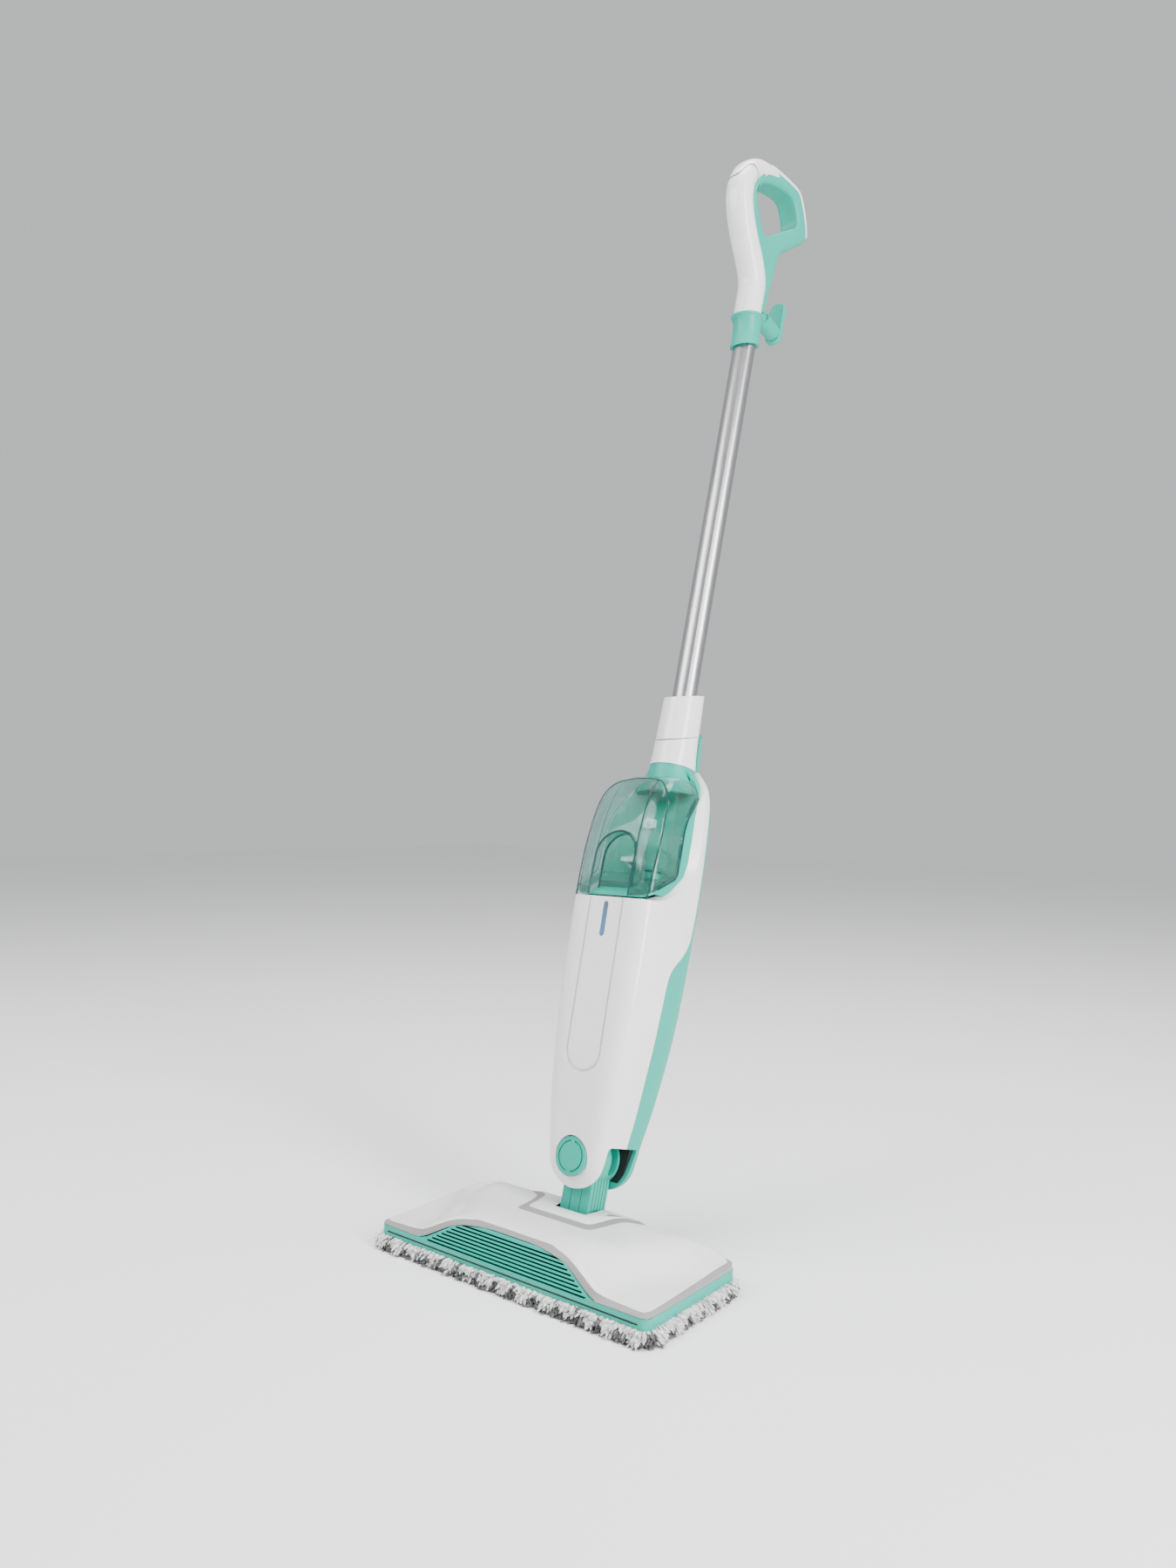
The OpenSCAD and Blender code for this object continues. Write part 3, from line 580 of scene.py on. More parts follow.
def notch():
    """The opening at the bottom of the covers that the neck's drum sits in."""
    outline = rounded([(-42, 15), (-42, 67), (-1, 67), (-6.4, 37), (-6.7, 15)], [0.1, 5, 1, 4, 0.1], 8)
    return prism("notch", outline, "x")


def covers():
    """The white front cover with its track, the teal rear cover and the blue lens over the lamp."""
    shell = body_loft(0, NOSE_Z, TOP_Z)
    combine(shell, [body_loft(WALL, 69.5, 274), body_loft(9.5, 272, 416), notch(),
                    cylinder("drum_room", (0, -41, ROLL_Z), DRUM_R + 0.7, 34.2)])
    front, rear = shell, copy_of(shell)
    combine(front, seam_space(-0.15, -1), "INTERSECT")
    groove = prism("groove", oblong(19.9, 145, 330), "y", -90, -45)
    combine(groove, prism("island", oblong(17.2, 145, 360), "y", -100, -40))
    combine(groove, body_loft(1.7, 100, 320))
    front_tools = [cradle_space(), groove, cylinder("hole", (0, -60, ROLL_Z), CAP_R + 0.6, 11.5),
                   cylinder("axle", (0, -60, ROLL_Z), AXLE_R, 30),
                   prism("light", oblong(3.2, LIGHT_LOW, LIGHT_HIGH, 16), "y", -80, -40),
                   cylinder("tube_hole", (0, 0, 400), TUBE_HOLE_R, 40, "z")]
    combine(front, front_tools)
    combine(rear, seam_space(0.25, 1), "INTERSECT")
    combine(rear, rear_spine(), "UNION")
    rear_tools = [cylinder("gland", (0, 15, 400), GLAND_R, 30),
                  cylinder("axle", (0, -20, ROLL_Z), AXLE_R, 28),
                  cylinder("tube_hole", (0, 0, 400), TUBE_HOLE_R, 40, "z")]
    rear_tools += [cylinder("screw", (x, 2, z), SCREW_HEAD_R, 50, sides=32) for x, z in BOSSES]
    combine(rear, rear_tools)
    front.name, rear.name = "front_cover_skin", "rear_cover_skin"
    finish_piece(front, "white", "main_body", ["front_cover"])
    finish_piece(rear, "teal", "main_body", ["rear_cover"])
    lens = plate("light_lens", [oblong(2.95, LIGHT_LOW, LIGHT_HIGH, 16)], 7, 0.9)
    lens.data.transform(Matrix.Translation((0, -60.6, 0)) @ FRONT_VIEW)
    finish_piece(lens, "lens", "main_body", ["light_guide"])


def bay_liner():
    """The teal lining between the tank and the cradle, up to the neck under the sleeve, and the small
    latch and valve pad that hold the tank."""
    sides = body_loft(4.5, 288, 421)
    combine(sides, body_loft(7, 284, 423))
    keep = prism("keep", rounded([(y + 1, z - 3) for y, z in CRADLE_IN[:-2]] + [(16, TOP_Z), (-90, TOP_Z)], 2),
                 "x", -60, 60)
    combine(sides, keep, "INTERSECT")
    combine(sides, bay_space(0.6))
    combine(sides, prism("below", box(-90, 270, 60, 290), "x"))
    sides.name = "bay_side_liner"
    finish_piece(sides, "teal", "main_body", [])
    neck = hollow("bay_neck", oval_run([(33, 24, 0, 396, 0), (29, 24, 0.5, 406, 0), (25, 24, 0.8, 414, 0),
                                        (22.6, 23.8, 1, 421, 0), (22.2, 23.6, 1, 424.1, 0)]),
                  oval_run([(20, 20, 0, 396, 0), (18.5, 18.5, 0, 424.1, 0)]))
    finish_piece(neck, "teal", "main_body", [])
    bean = curve([(-4, 396), (0, 393.5), (5, 394.5), (7, 398), (4, 402), (-2, 401.5)], 6, closed=True)
    latch = plate("bay_latch", [even(bean, 40)], 5, 1.6)
    pad = plate("bay_valve_pad", [rounded(box(-1, 356.5, 13, 365.5), 2.4)], 4, 1.2)
    boss = plate("bay_valve_boss", [oblong(2.2, 359.8, 361.6, 10)], 5.4, 0.8, 3)
    boss.data.transform(Matrix.Translation((6, 0, 0)))
    for piece, y, colour in ((latch, -26.5, "rim"), (pad, -27.4, "white"), (boss, -27.4, "rim")):
        piece.data.transform(Matrix.Translation((0, y, 0)) @ FRONT_VIEW)
        finish_piece(piece, colour, "main_body", [])


def oval_run(stations, steps=8):
    """Ovals (a, b, y, z, tilt) along a smooth run through the stations."""
    return [[(a * c, y + b * s, z + b * s * tilt) for c, s in circle(1, 96)]
            for a, b, y, z, tilt in curve(stations, steps)]


def hollow(name, outer, inner):
    """A sleeve: rings up the outside, then down the inside."""
    rings = outer + inner[::-1]
    return loft(name, rings + [rings[0]], capped=False)


def rear_spine():
    """The strip that runs up behind the lower sleeve."""
    strip = loft("strip", oval_run([(22.3, 34, 0, 410, 0), (21.8, 33.2, 0, 440, 0), (20.4, 30, 0, 474, 0)]))
    keep = prism("keep", rounded([(11, 411), (45, 411), (45, 474), (34, 474), (11, 458)], 3), "x", -40, 40)
    combine(strip, keep, "INTERSECT")
    inside = loft("inside", oval_run([(24, 24.6, 1, 405, 0), (23.1, 24.5, 1, 425, 0),
                                      (21.8, 22.3, 0.5, 441, 0), (21.1, 21.4, 0, 480, 0)]))
    return combine(strip, inside)


def disc(name, rows, z0):
    """A turned part about a lean y axis at height z0: rows of (radius, y)."""
    return loft(name, [[(u, y, z0 + v) for u, v in circle(r, 128)] for r, y in rows])


def cap_groove(start, end):
    """A curved slot in the pivot cap's face, between two angles."""
    turn = [radians(angle) for angle in spread(start, end, 40)]
    outline = [(r * cos(t), ROLL_Z + r * sin(t))
               for r, way in ((12.05, turn), (13.55, turn[::-1])) for t in way]
    return prism("arc", outline, "y", -53, -50.6)


def pivot_cap():
    rows = [(CAP_R, -48.5), (CAP_R, -51), (CAP_R - 0.3, -51.5), (CAP_R - 1, -51.8), (9, -52.0), (3, -52.1)]
    cap = disc("pivot_cap_skin", rows, ROLL_Z)
    combine(cap, [cap_groove(100, 260), cap_groove(-80, 80)])
    finish_piece(cap, "teal", "main_body", ["pivot_cap"])


def sleeves():
    lower = hollow("lower_sleeve_skin",
                   oval_run([(22.7, 24.1, 1, 424.3, 0), (22.3, 23.4, 0.9, 429, 0), (21.5, 22, 0.5, 440, 0.02),
                             (20.9, 21, 0, 455.2, 0.4), (20.4, 20.5, 0, 456, 0.4)]),
                   oval_run([(18, 18, 0, 424.3, 0), (18, 18, 0, 456, 0.4)]))
    upper = hollow("upper_sleeve_skin",
                   oval_run([(20.3, 20.4, 0, 457.8, 0.4), (20.8, 21, 0, 458.6, 0.4), (20.3, 20.3, 0, 478, 0.38),
                             (19.8, 19.6, 0, 498.4, 0.35), (19.3, 19.1, 0, 499.2, 0.35)]),
                   oval_run([(18, 18, 0, 457.8, 0.4), (17.6, 17.6, 0, 480, 0.38), (18.2, 18, 0, 499.2, 0.35)]))
    combine(upper, cylinder("screw", (0, 12, 475), 3.3, 20, sides=40))
    seal = hollow("sleeve_seal", oval_run([(19.7, 19.8, 0, 452, 0.4), (19.7, 19.8, 0, 462, 0.4)]),
                  oval_run([(18.3, 18.3, 0, 452, 0.4), (18.3, 18.3, 0, 462, 0.4)]))
    finish_piece(seal, "dark", "main_body", [])
    finish_piece(lower, "white", "main_body", ["lower_sleeve"])
    finish_piece(upper, "white", "main_body", ["upper_sleeve"])


def tube():
    """A drawn oval tube with a fine rolled seam along its front."""
    def ring_at(z, a, b):
        out = []
        for i in range(300):
            t = 360 * i / 300
            dip = max(0.0, 1 - abs(((t + 46.6 + 180) % 360) - 180) / 4.5)
            out.append(((a - 0.75 * dip) * cos(radians(t)),
                        (b - 0.75 * dip) * sin(radians(t)), z))
        return out
    outer = [ring_at(z, 12.5, 11) for z in (432, 520, 640, 760, 880, 934.6)] + [ring_at(935, 12.2, 10.7)]
    inner = [ring_at(z, 11.4, 9.9) for z in (432, 640, 935)]
    piece = hollow("tube_skin", outer, inner)
    finish_piece(piece, "aluminium", "main_body", ["tube"], sharp=24)


def collar():
    outer = oval_run([(15.2, 13.8, 0, 903.5, 0.36), (15.7, 14.3, 0, 904.4, 0.36), (15.3, 14, -0.4, 918, 0.34),
                      (15.4, 14.6, -2, 930, 0.32), (15.8, 15.3, -3.6, 934.6, 0.3),
                      (16.8, 16.4, -4.6, 936.4, 0.3), (16.9, 16.5, -5, 938, 0.3), (16.2, 15.8, -5, 938.8, 0.3)])
    inner = oval_run([(12.7, 11.2, 0, 903.5, 0.36), (12.7, 11.2, -2, 938.8, 0.3)], 4)
    finish_piece(hollow("collar_skin", outer, inner), "teal", "main_body", ["collar"])


# ---- Handle ----
SPINE = [(-5, 930, 13), (-5, 960, 13.4), (-5.5, 977, 14), (-11, 990, 14.5), (-20, 1002, 14.5), (-34, 1017, 14),
         (-46, 1033, 13.5), (-54, 1050, 13.2), (-56, 1068, 13), (-51, 1085, 12.6), (-41, 1098, 11.8),
         (-28, 1107, 10.5), (-12, 1113.6, 8), (4, 1118.6, 5.8), (20, 1123.5, 3.6)]
SPINE_A = 14.5
GRIP_OUT = [(-40, 1092), (-30, 1109), (-20, 1117), (0, 1124), (20, 1129), (34, 1131.8), (43, 1129.6),
            (54, 1118), (64, 1102), (67, 1092), (64, 1082), (54, 1070), (36, 1050), (25, 1038), (20, 1026),
            (17, 1005), (14, 980), (11.5, 958), (9, 945), (9, 944), (-6, 944), (-6, 945), (-7, 975),
            (-12, 990), (-19, 1003), (-33, 1020), (-44, 1044), (-46, 1066)]
GRIP_HOLE = [(-38, 1064), (-35.5, 1078), (-27, 1089), (-15, 1097.5), (-1, 1105), (14, 1111.5), (26, 1115),
             (34, 1113), (42, 1104), (47, 1094), (44, 1088), (30, 1074), (8, 1052), (-9, 1036), (-17, 1035),
             (-31, 1050)]
GRIP_WIDTH = 25


def spine_rings(start, end, inset, steps):
    """Rings across the handle's spine. start and end say at which station it begins and stops, for a
    point's x and for how far behind the spine's middle the point is, from -1 to 1."""
    line = curve(SPINE, 12)
    last = len(SPINE) - 1

    def at(s):
        u = min(max(s / last * (len(line) - 1), 0), len(line) - 1.001)
        k = int(u)
        return line[k] + (line[k + 1] - line[k]) * (u - k)
    rings = []
    for k in range(steps + 1):
        ring = []
        for c, f in circle(1, 72):
            x = (SPINE_A - inset) * signed_power(c, 0.75)
            s0, s1 = start(x, f), end(x, f)
            s = s0 + (s1 - s0) * k / steps
            m = at(s)
            x *= min(1.0, m[2] / 10.5)**0.35
            reach = 0.12 if 0.12 < s < last - 0.12 else 0.3
            d = at(s + reach) - at(s - reach)
            n = np.array((d[1], -d[0])) / hypot(d[0], d[1])
            u = (m[2] - inset) * f
            ring.append((x, m[0] + n[0] * u, m[1] + n[1] * u))
        rings.append(ring)
    return rings


def spine_foot(x, f):
    """The spine's lower end, which slopes with the collar."""
    return 0.24 + 0.13 * f


def cap_seam(offset):
    """The line where the top cap starts, moved along the spine by offset: an S across its front."""
    return lambda x, f: 8.55 + offset + 0.5 * tanh((x - 8.5) / 3)


def handle():
    spine = loft("handle_spine_skin", spine_rings(spine_foot, cap_seam(-0.035), 0, 100))
    finish_piece(spine, "white", "main_body", ["handle_spine"])
    top = loft("top_cap_skin", spine_rings(cap_seam(0.035), lambda x, f: 13.9, 0.1, 40))
    finish_piece(top, "white", "main_body", ["top_cap"])
    line = loft("top_cap_seam", spine_rings(cap_seam(-0.05), cap_seam(0.05), -0.12, 4))
    finish_piece(line, "seam", "main_body", [])
    outlines = [curve(line, 8, closed=True) for line in (GRIP_OUT, GRIP_HOLE)]
    grip = plate("grip_skin", outlines, GRIP_WIDTH, 4.2, 6)
    grip.data.transform(SIDE_VIEW)
    screws = [cylinder("screw", (9.5, y, z), 3.1, 10, "x", 40) for y, z in ((56, 1096), (12, 1036))]
    combine(grip, screws)
    finish_piece(grip, "teal", "main_body", ["grip"], sharp=28)
    grip_strip()


def grip_strip():
    """The white band that runs on from the spine over the loop, thinning to nothing at its far end."""
    edge = curve([(-37, 1098), (-31, 1109), (-20, 1117.8), (0, 1124.4), (20, 1129.2), (34, 1131.8),
                  (44, 1129.6), (54.5, 1118), (61.5, 1107), (65, 1099), (66.8, 1092)], 10)
    thick = [(0, 6.0), (0.12, 5.6), (0.3, 3.6), (0.55, 2.4), (0.75, 1.5), (1, 0.5)]
    rings = []
    for k, p in enumerate(edge):
        d = edge[min(k + 1, len(edge) - 1)] - edge[max(k - 1, 0)]
        n = np.array((-d[1], d[0])) / hypot(*d)
        half = smooth(thick, k / (len(edge) - 1))
        wide = 12.9 - 0.5 * k / len(edge)
        ring = []
        for c, s in circle(1, 36):
            out = signed_power(s, 0.6) * half + 1.9 - half
            ring.append((signed_power(c, 0.4) * wide, p[0] + n[0] * out, p[1] + n[1] * out))
        rings.append(ring)
    finish_piece(loft("grip_strip", rings), "white", "main_body", [])


def cord_hook():
    """The hook for the wound cord: a round stem with a small slot, and a long paddle with a raised rim."""
    root_y, root_z = 12, 954
    rows = [(8.2, root_y + 2.4), (8.8, root_y + 2.9), (9, root_y + 3.8), (9, root_y + 36.5), (9, root_y + 37)]
    stem = disc("cord_hook_stem", rows, root_z)
    combine(stem, prism("slot", rounded(box(6.7, 957, 11.7, 950.6), 0.8), "y", 17, 23))
    outer, inner = (oblong(radius, root_z - 2, root_z + 30) for radius in (10, 8))
    paddle = plate("cord_hook_paddle", [outer], 5, 1.5, 5)
    rim = plate("cord_hook_rim", [outer, inner], 1.2, 0.4, 2)
    for piece, y in ((paddle, root_y + 39.5), (rim, root_y + 41.6)):
        piece.data.transform(Matrix.Translation((0, y, 0)) @ FRONT_VIEW)
    finish_piece(stem, "teal", "cord_hook", ["cord_hook"])
    finish_piece(paddle, "teal", "cord_hook", [])
    finish_piece(rim, "teal", "cord_hook", [])


# ---- Water tank ----
FILLER_X, FILLER_Y = 29, -42
TANK_WALL = 2.1
TANK_LOW, TANK_TOP = 281, 411
DOME_R = 17


def recess(extra):
    """The arched finger recess in the tank's front, made larger by extra."""
    return prism("recess", oblong(RECESS_R + extra, 260, RECESS_Z), "y", -90, RECESS_Y + extra)


def dome_inset(z):
    """How far the tank draws in as its top rounds over."""
    rise = max(0.0, z - (TANK_TOP - DOME_R))
    return 0.25 + DOME_R - sqrt(max(0.0, DOME_R**2 - rise**2))


def dome_loft(inset, low, top):
    """The tank's outside, with its rounded top, drawn in by inset."""
    bend = top - 12
    heights = spread(low, bend, 50)[:-1] + [bend + 12 * sin(pi * k / 40) for k in range(21)]
    return loft("tank", [[(x, y, z) for x, y in body_outline(z, inset + dome_inset(min(z + inset, TANK_TOP)))]
                         for z in heights])


def tank():
    """The clear shell, hollow, with its finger recess, its filler neck and its outlet."""
    shell = dome_loft(0, TANK_LOW, TANK_TOP)
    combine(shell, bay_space(-0.4), "INTERSECT")
    inside = dome_loft(TANK_WALL, 283.6, TANK_TOP - TANK_WALL)
    combine(inside, bay_space(-3.4), "INTERSECT")
    combine(inside, [recess(2), cylinder("boss", (FILLER_X, FILLER_Y, 276), 10.6, 38, "z")])
    combine(shell, [inside, recess(0), cylinder("filler", (FILLER_X, FILLER_Y, 270), 8.05, 41.8, "z"),
                    cylinder("outlet", (0, -40, 322), 4, 30)])
    shell.name = "tank_skin"
    finish_piece(shell, "clear", "tank", ["tank_shell"])
    tank_lines()


def on_tank(x, z):
    """The point on the tank's outside at x and z, as seen from the front."""
    return (x, front_face(x, z, dome_inset(z)), z)


def tank_lines():
    """Dark lines along the tank's edges, creases and recess: painted shade where the clear plastic's edges look
    dark.
    """
    turn = [pi * k / 32 for k in range(33)]
    arch = ([(RECESS_R, 284 + 4 * k) for k in range(10)]
            + [(RECESS_R * cos(t), RECESS_Z + RECESS_R * sin(t)) for t in turn]
            + [(-RECESS_R, 320 - 4 * k) for k in range(10)])
    face = curve([(-40.5, 283), (-42, 320), (-42, 351), (-38, 380), (-27, 396), (-12, 401.5), (0, 402.5),
                  (12, 401.5), (27, 396), (38, 380), (42, 351), (42, 320), (40.5, 283)], 8)
    ridge = curve([(22.3, 330), (21.8, 350), (21, 372), (19.5, 392), (18.6, 400)], 8)
    lines = {
        "tank_arch_shade_line": ([on_tank(x, z) for x, z in arch], 1.0),
        "tank_recess_shade_line": ([(x, RECESS_Y - 0.2, z) for x, z in arch], 0.95),
        "tank_face_shade_line": ([on_tank(*p) for p in face], 0.8),
        "tank_ridge_shade_line": ([on_tank(*p) for p in ridge], 0.8),
        "tank_left_ridge_shade_line": ([on_tank(-x, z) for x, z in ridge], 0.3),
        "tank_floor_shade_line": ([(x, -32.5, 309.5) for x in (-38, -20, 0, 20, 38)], 0.4),
    }
    back = curve(rounded(BAY[1:5], [0.1, 6, 12, 10], 6)[:27], 2)
    edge = [(y - 0.8, z + 0.8) for y, z in back if y > -62 and z < 392]
    for side, word in ((1, "right"), (-1, "left")):
        lines[f"tank_{word}_edge_bead"] = ([(side * side_width(y, z), y, z) for y, z in edge], 0.95)
    for name, (path, radius) in lines.items():
        finish_piece(tube_along(name, path, radius), "bead", "tank", [])


def side_width(y, z):
    """How far out the body's outside is at y and z."""
    power, deep = ((2 * FRONT_POWER, smooth(FRONT_DEPTH, z) + MID_Y) if y < MID_Y
                   else (2 * BACK_POWER, smooth(BACK_DEPTH, z) - MID_Y))
    return smooth(HALF_WIDTH, z) * max(0.0, 1 - min(1, abs(y - MID_Y) / deep)**power)**(1 / power)


def front_face(x, z, inset):
    """How far forward the body's outside, drawn in by inset, is at x and z."""
    power = 2 * FRONT_POWER
    half = smooth(HALF_WIDTH, z) - inset
    front = smooth(FRONT_DEPTH, z) + MID_Y - inset
    return MID_Y - front * max(0.0, 1 - min(1, abs(x) / half)**power)**(1 / power)


# ---- Neck (lean frame) ----
WINDOW_RIBS = 5


def neck_yoke():
    """The knuckle: a drum on the roll axle, over a ribbed block that turns on the head's axle."""
    drum = disc("neck_yoke_skin", [(21.7, -38), (22.2, -37.7), (DRUM_R, -37), (DRUM_R, -9), (22.2, -8.3),
                                   (21.7, -8)], ROLL_Z)
    combine(drum, [prism("block", rounded(box(-16, -34, 16, -9), 1.6), "z", 4, 44),
                   prism("knee", rounded(box(-29.5, -12, -13, 8), 4.5), "x", -16, 16),
                   cylinder("barrel", (-16, -21.4, -4), 9, 32, "x")], "UNION")
    tools = [cylinder("pitch", (-30, -21.4, -4), 6, 60, "x"), cylinder("roll", (0, -60, ROLL_Z), 7, 80)]
    for side in (-1, 1):
        window = rounded(box(-21, 42, -11.5, 66.5), 4.6, 8)
        tools.append(prism("window", window, "x", 13 if side > 0 else -30, 30 if side > 0 else -13))
        for k in range(5):
            y = -30.5 + 4.3 * k
            rib = rounded(box(side * 15.1, y - 0.8, side * 17, y + 0.8), 0.3)
            tools.append(prism("rib", rib, "z", 9, 38))
    for x in (-5.5, 5.5):
        tools.append(prism("line", box(x - 0.35, -36, x + 0.35, -33.3), "z", 0, 40))
    combine(drum, tools)
    finish_piece(drum, "teal", "neck", ["neck_yoke"])
    sideways = Matrix.Rotation(pi / 2, 4, "Z") @ FRONT_VIEW
    # Ribs deep in the windows, in the darker teal as painted shade.
    for side, word in ((-1, "left"), (1, "right")):
        for k in range(WINDOW_RIBS):
            rib = plate(f"window_rib_{word}_{k}", [oblong(0.55, 47, 61, 8)], 1.6, 0.3, 2)
            rib.data.transform(Matrix.Translation((side * 13, -20 + 1.9 * k, 0)) @ sideways)
            finish_piece(rib, "teal_painted_shade", "neck", [])
    # A black wedge filling the gap between the drum and the rear cover's heel: painted shade for the dark gap,
    # not a real part.
    wedge = rounded([(-6.8, 36), (-6.8, 66.6), (-1.6, 66.6), (-6.2, 42)], 0.5)
    heel_shade = prism("heel_painted_shade", wedge, "x", -45, 45)
    combine(heel_shade, body_loft(3.5, NOSE_Z, 80), "INTERSECT")
    combine(heel_shade, cylinder("axle", (0, -20, ROLL_Z), AXLE_R, 40))
    finish_piece(heel_shade, "black", "main_body", [])
    # A black disc round the roll axle, in place of the axle clip: painted shade for the dark inside of the
    # drum's notch.
    shade_disc = disc("roll_painted_shade_disc", [(8, -7.4), (20.4, -7.4), (20.8, -7), (20.8, -2), (20.4, -1.6), (8, -1.6)],
                  ROLL_Z)
    finish_piece(shade_disc, "black", "main_body", ["axle_clip"])


# ---- Mop head (row frame) ----
HEAD_W, HEAD_D = 293, 124
RIM_Z = 20.7
HUMP = [(0, 47), (40, 46), (56, 44.6), (72, 40.5), (96, 28.5), (104, 26), (125, 24.6), (147, 23.6)]
SIDE = [(-62, 21.6), (-60, 24.5), (-52, 40), (-46, 45), (-34, 46), (-18, 44.4), (0, 42.2), (20, 41),
        (40, 40.3), (52, 38), (62, 32)]
GRILLE = [(-97, 17), (-97, 20.5), (-90, 22), (-62, 37), (-30, 41.5), (30, 41.5), (62, 37), (90, 22),
          (97, 20.5), (97, 17)]
NECK_SLOT = 36
COVER_WALL = 2.3
RIM = 3.5
DECK_FOOT = [(-67, 52), (-64, 45), (-51, 40), (-46, 22), (-42, -1), (42, -1), (46, 22), (51, 40), (64, 45),
             (67, 52), (52, 57), (-52, 57)]
DECK_BROW = [(-56, 51), (-53, 48.5), (-42.5, 44), (-38, 27), (-35, 8.5), (35, 8.5), (38, 27), (42.5, 44),
             (53, 48.5), (56, 51), (50, 54.5), (-50, 54.5)]
DECK_CORNERS = [4, 6, 9, 12, 7, 7, 12, 9, 6, 4, 4, 4]


def slab_outline(width, depth, radius, count):
    return even(rounded(box(-width / 2, -depth / 2, width / 2, depth / 2), radius, 12), count)


def lower_of(a, b, soft=2.5):
    """The smaller of two heights, with the corner between them smoothed."""
    h = max(0.0, min(1.0, 0.5 + 0.5 * (b - a) / soft))
    return b + (a - b) * h - soft * h * (1 - h)


def cover_height(x, y):
    """The head cover's outside: a hump over low wings that widens to the back, with a chamfer all round."""
    t = min(1.0, max(0.0, (y + 52) / 95))
    wide = 1 + 0.42 * t * t * (3 - 2 * t)
    z = lower_of(smooth(HUMP, abs(x) / wide), smooth(SIDE, y), 4)
    edge = min(HEAD_W / 2 - abs(x), HEAD_D / 2 - abs(y))
    return max(RIM_Z + 0.05, z - 2.2 * max(0.0, 1 - edge / RIM))


def height_solid(name, height, base, width, depth, nx, ny):
    """A solid between a flat base and the surface height(x, y), over a grid of nx by ny squares."""
    xs = [width * (i / nx - 0.5) for i in range(nx + 1)]
    ys = [depth * (j / ny - 0.5) for j in range(ny + 1)]
    verts = [(x, y, height(x, y)) for y in ys for x in xs]
    row = nx + 1
    faces = [(j * row + i, j * row + i + 1, (j + 1) * row + i + 1, (j + 1) * row + i)
             for j in range(ny) for i in range(nx)]
    border = (list(range(row)) + [j * row + nx for j in range(1, ny + 1)]
              + [ny * row + i for i in range(nx - 1, -1, -1)] + [j * row for j in range(ny - 1, 0, -1)])
    start = len(verts)
    verts += [(verts[k][0], verts[k][1], base) for k in border]
    n = len(border)
    faces += [(border[i], start + i, start + (i + 1) % n, border[(i + 1) % n]) for i in range(n)]
    faces.append(tuple(reversed(range(start, start + n))))
    thing = mesh_object(name, verts, faces)
    tidy_normals(thing)
    return thing


def arch_tool(grow, depth):
    """The arch that the grille fills, made larger by grow."""
    outline = [(x + copysign(grow, x) * (1.4 if z < 23 else 0.6), z + (grow if z > 18 else -8))
               for x, z in GRILLE]
    return prism("arch", rounded(outline, [0.1, 2, 12, 12, 14, 14, 12, 12, 2, 0.1], 8), "y", -90, depth)


def neck_slot():
    return prism("slot", rounded(box(-NECK_SLOT / 2, 25, NECK_SLOT / 2, 80), 3), "z", 0, 70)


def inside_rim():
    """The space over the head cover's face, inside its rim and above the edge of the grille's arch."""
    face = prism("face", slab_outline(HEAD_W - 2 * RIM, HEAD_D - 2 * RIM, 4, 120), "z", 0, 80)
    return combine(face, arch_tool(4.2, -46))


def head_cover():
    """The white cover and its grey rim, which also borders the grille."""
    cover = height_solid("cover", cover_height, RIM_Z, HEAD_W, HEAD_D, 220, 96)
    combine(cover, prism("plan", slab_outline(HEAD_W, HEAD_D, 6, 120), "z", 10, 70), "INTERSECT")
    inside = height_solid("inside", lambda x, y: cover_height(x, y) - COVER_WALL, 10, HEAD_W - 2 * COVER_WALL,
                          HEAD_D - 2 * COVER_WALL, 110, 48)
    combine(cover, [inside, arch_tool(0.6, -46.5), neck_slot()])
    rim = copy_of(cover)
    combine(cover, inside_rim(), "INTERSECT")
    combine(rim, inside_rim())
    cover.name, rim.name = "head_cover_skin", "head_cover_rim"
    finish_piece(cover, "white", "head", ["head_cover"], ROW_MM)
    finish_piece(rim, "rim", "head", [], ROW_MM)


def deck():
    """The raised deck round the neck: a white plate with a broad sloping edge all round, which takes the rim's
    grey as painted shade.
    """
    low, high = (rounded(line, DECK_CORNERS, 8) for line in (DECK_FOOT, DECK_BROW))

    def top(x, y):
        return smooth(SIDE, y) + 1.6

    rings = [[(x, y, 36) for x, y in low], [(x, y, top(x, y) - 1.9) for x, y in low],
             [(x, y, top(x, y) - 0.1) for x, y in high]]
    edge = loft("deck_edge", rings)
    inner = [(x * 0.975, 4.5 + (y - 4.5) * 0.97 + 0.6) for x, y in high]
    lid = loft("deck_lid", [[(x, y, 36) for x, y in high], [(x, y, top(x, y)) for x, y in high],
                            [(x, y, top(x, y) + 0.5) for x, y in inner]])
    # The sloping edge takes the rim's grey as painted shade.
    for piece, colour in ((edge, "rim"), (lid, "white")):
        combine(piece, neck_slot())
        finish_piece(piece, colour, "head", [], ROW_MM)


def tray_slot_painted_shade():
    """A black strip laid in the long slot low in the tray's front: painted shade for the dark inside of the
    slot.
    """
    shade = plate("tray_slot_painted_shade", [oblong(0.62, -137, 137, 8)], 0.8, 0.2, 2)
    across = Matrix.Rotation(pi / 2, 4, "Y") @ FRONT_VIEW
    shade.data.transform(Matrix.Translation((0, -61.7, 15.5)) @ across)
    finish_piece(shade, "black", "head", [], ROW_MM)


# ---- Mop pad (row frame) ----
PAD_W, PAD_D = 303, 134
PRESSURE = 4
CLOTH_FRAMES = 20
MOST_SWELL = 0.0012
PILE_SEED = 7
PILE_STATIONS = 560
PILE_LAYERS = 8
PILE_LENGTH = (5.5, 8.5)
PILE_RADIUS = (0.9, 1.35)
# Heights below which pile strands take the near-black colour as painted shade, along the front and elsewhere.
PAINTED_SHADE_BELOW_FRONT, PAINTED_SHADE_BELOW = 6.4, 3.6     # heights in mm


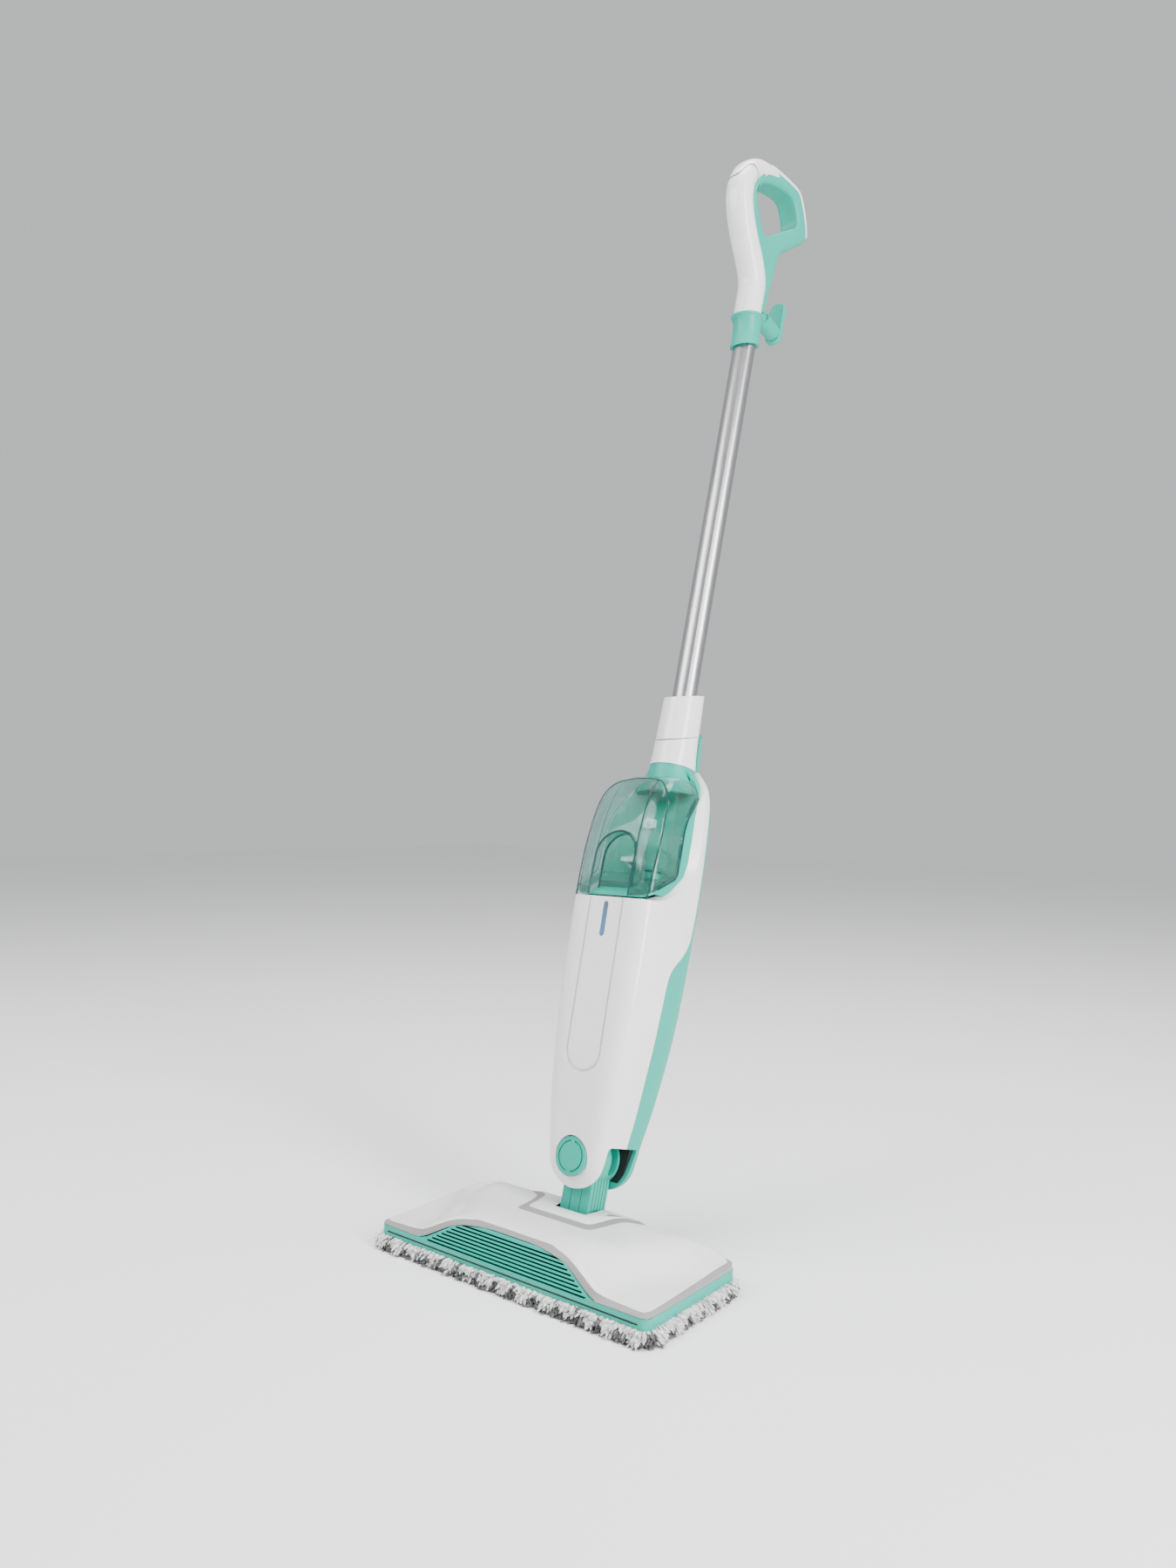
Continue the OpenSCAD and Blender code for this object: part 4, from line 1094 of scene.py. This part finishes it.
def pad_core():
    """The pad's woven body, swollen by a short cloth simulation."""
    layers = [(3, 0.2), (0.6, 1.6), (0, 4.5), (0.4, 7.6), (2.4, 9.2)]
    rings = [[(x, y, z) for x, y in slab_outline(PAD_W - 12 - 2 * inset, PAD_D - 12 - 2 * inset, 9, 160)]
             for inset, z in layers]
    core = loft("mop_pad_core", rings)
    core.data.transform(ROW_MM)
    remesh = core.modifiers.new("remesh", "REMESH")
    remesh.mode = "VOXEL"
    remesh.voxel_size = 0.004
    bake_modifiers(core)
    rest = np.array([v.co[:] for v in core.data.vertices])
    cloth = core.modifiers.new("cloth", "CLOTH")
    cloth.settings.quality = 4
    cloth.settings.use_pressure = True
    cloth.settings.uniform_pressure_force = PRESSURE
    cloth.settings.effector_weights.gravity = 0
    cloth.settings.tension_stiffness = 40
    for number in range(1, CLOTH_FRAMES + 1):
        bpy.context.scene.frame_set(number)
    bake_modifiers(core)
    bpy.context.scene.frame_set(1)
    moved = np.array([v.co[:] for v in core.data.vertices]) - rest
    size = np.linalg.norm(moved, axis=1, keepdims=True)
    moved *= np.minimum(1, MOST_SWELL / np.maximum(size, 1e-9))
    for vertex, place in zip(core.data.vertices, rest + moved):
        vertex.co = place
    low = min(v.co.z for v in core.data.vertices)
    for vertex in core.data.vertices:
        vertex.co.z -= low
    finish_piece(core, "pad_core", "head", ["mop_pad"], Matrix.Identity(4), 60)


def strand(verts, faces, start, way, length, radius, rng):
    """One chenille loop: a soft bumpy finger that droops to the floor."""
    rings, sides = 7, 7
    up = Vector((0, 0, 1))
    side = up.cross(way).normalized()
    base = len(verts)
    twist = rng.uniform(0, 6.28)
    droop = rng.uniform(0.15, 0.5)
    for k in range(rings + 1):
        t = k / rings
        centre = start + way * (length * t) - up * (length * droop * t * t)
        centre.z = max(centre.z, radius * 0.8)
        tip = sqrt(max(0.02, 1 - max(0, t - 0.55)**2 / 0.2026))
        thick = radius * tip * (1 + 0.14 * sin(9 * t + twist))
        for i in range(sides):
            a = twist + 2 * pi * i / sides
            p = centre + side * (thick * cos(a)) + up * (thick * sin(a))
            verts.append((p.x, p.y, max(p.z, 0.1)))
    for k in range(rings):
        for i in range(sides):
            j = (i + 1) % sides
            faces.append((base + k * sides + i, base + k * sides + j,
                          base + (k + 1) * sides + j, base + (k + 1) * sides + i))
    faces.append(tuple(base + rings * sides + i for i in range(sides)))
    faces.append(tuple(base + i for i in reversed(range(sides))))


def pad_pile():
    """Strands of pile all round the pad's edge. A strand below a height that rises in patches and along the
    front takes the near-black colour as painted shade; the rest are light.
    """
    rng = random.Random(PILE_SEED)
    groups = {"pile_light": ([], []), "pile_painted_shade": ([], [])}
    stations = slab_outline(PAD_W - 9, PAD_D - 9, 9, PILE_STATIONS)
    for k, (x, y) in enumerate(stations):
        ahead, behind = stations[(k + 1) % len(stations)], stations[k - 1]
        out = Vector((ahead[1] - behind[1], behind[0] - ahead[0], 0)).normalized()
        for layer in range(PILE_LAYERS):
            height = 1.2 + 1.35 * layer + rng.uniform(-0.5, 0.5)
            patch = cos(0.29 * (x + y) + 2.4 * noise.noise(Vector((x * 0.03, y * 0.03, 3.1))))
            speck = noise.noise(Vector((x * 0.2, y * 0.2, layer * 0.5)))
            # Strands below this height get the near-black colour as painted shade: higher along the front and
            # in the patches between clumps.
            limit = (PAINTED_SHADE_BELOW_FRONT if y < -50 else PAINTED_SHADE_BELOW) + 4.4 * patch + 2.2 * speck
            verts, faces = groups["pile_painted_shade" if height < limit else "pile_light"]
            stray = Vector((rng.uniform(-0.5, 0.5), rng.uniform(-0.5, 0.5), rng.uniform(-0.15, 0.45)))
            way = (out + stray).normalized()
            start = Vector((x, y, height)) - out * rng.uniform(1, 3)
            clump = 1 - 0.16 * patch + 0.5 * noise.noise(Vector((x * 0.28, y * 0.28, 8)))
            length = rng.uniform(*PILE_LENGTH) * clump
            strand(verts, faces, start, way, length, rng.uniform(*PILE_RADIUS), rng)
    for name, (verts, faces) in groups.items():
        pile = mesh_object("mop_" + name, verts, faces)
        finish_piece(pile, name, "head", [], ROW_MM, 80)


MATERIALS = make_materials()
make_camera()
make_studio()
paint_frame()
covers()
pivot_cap()
sleeves()
tube()
collar()
handle()
cord_hook()
bay_liner()
tank()
neck_yoke()
head_cover()
deck()
tray_slot_painted_shade()
pad_core()
pad_pile()
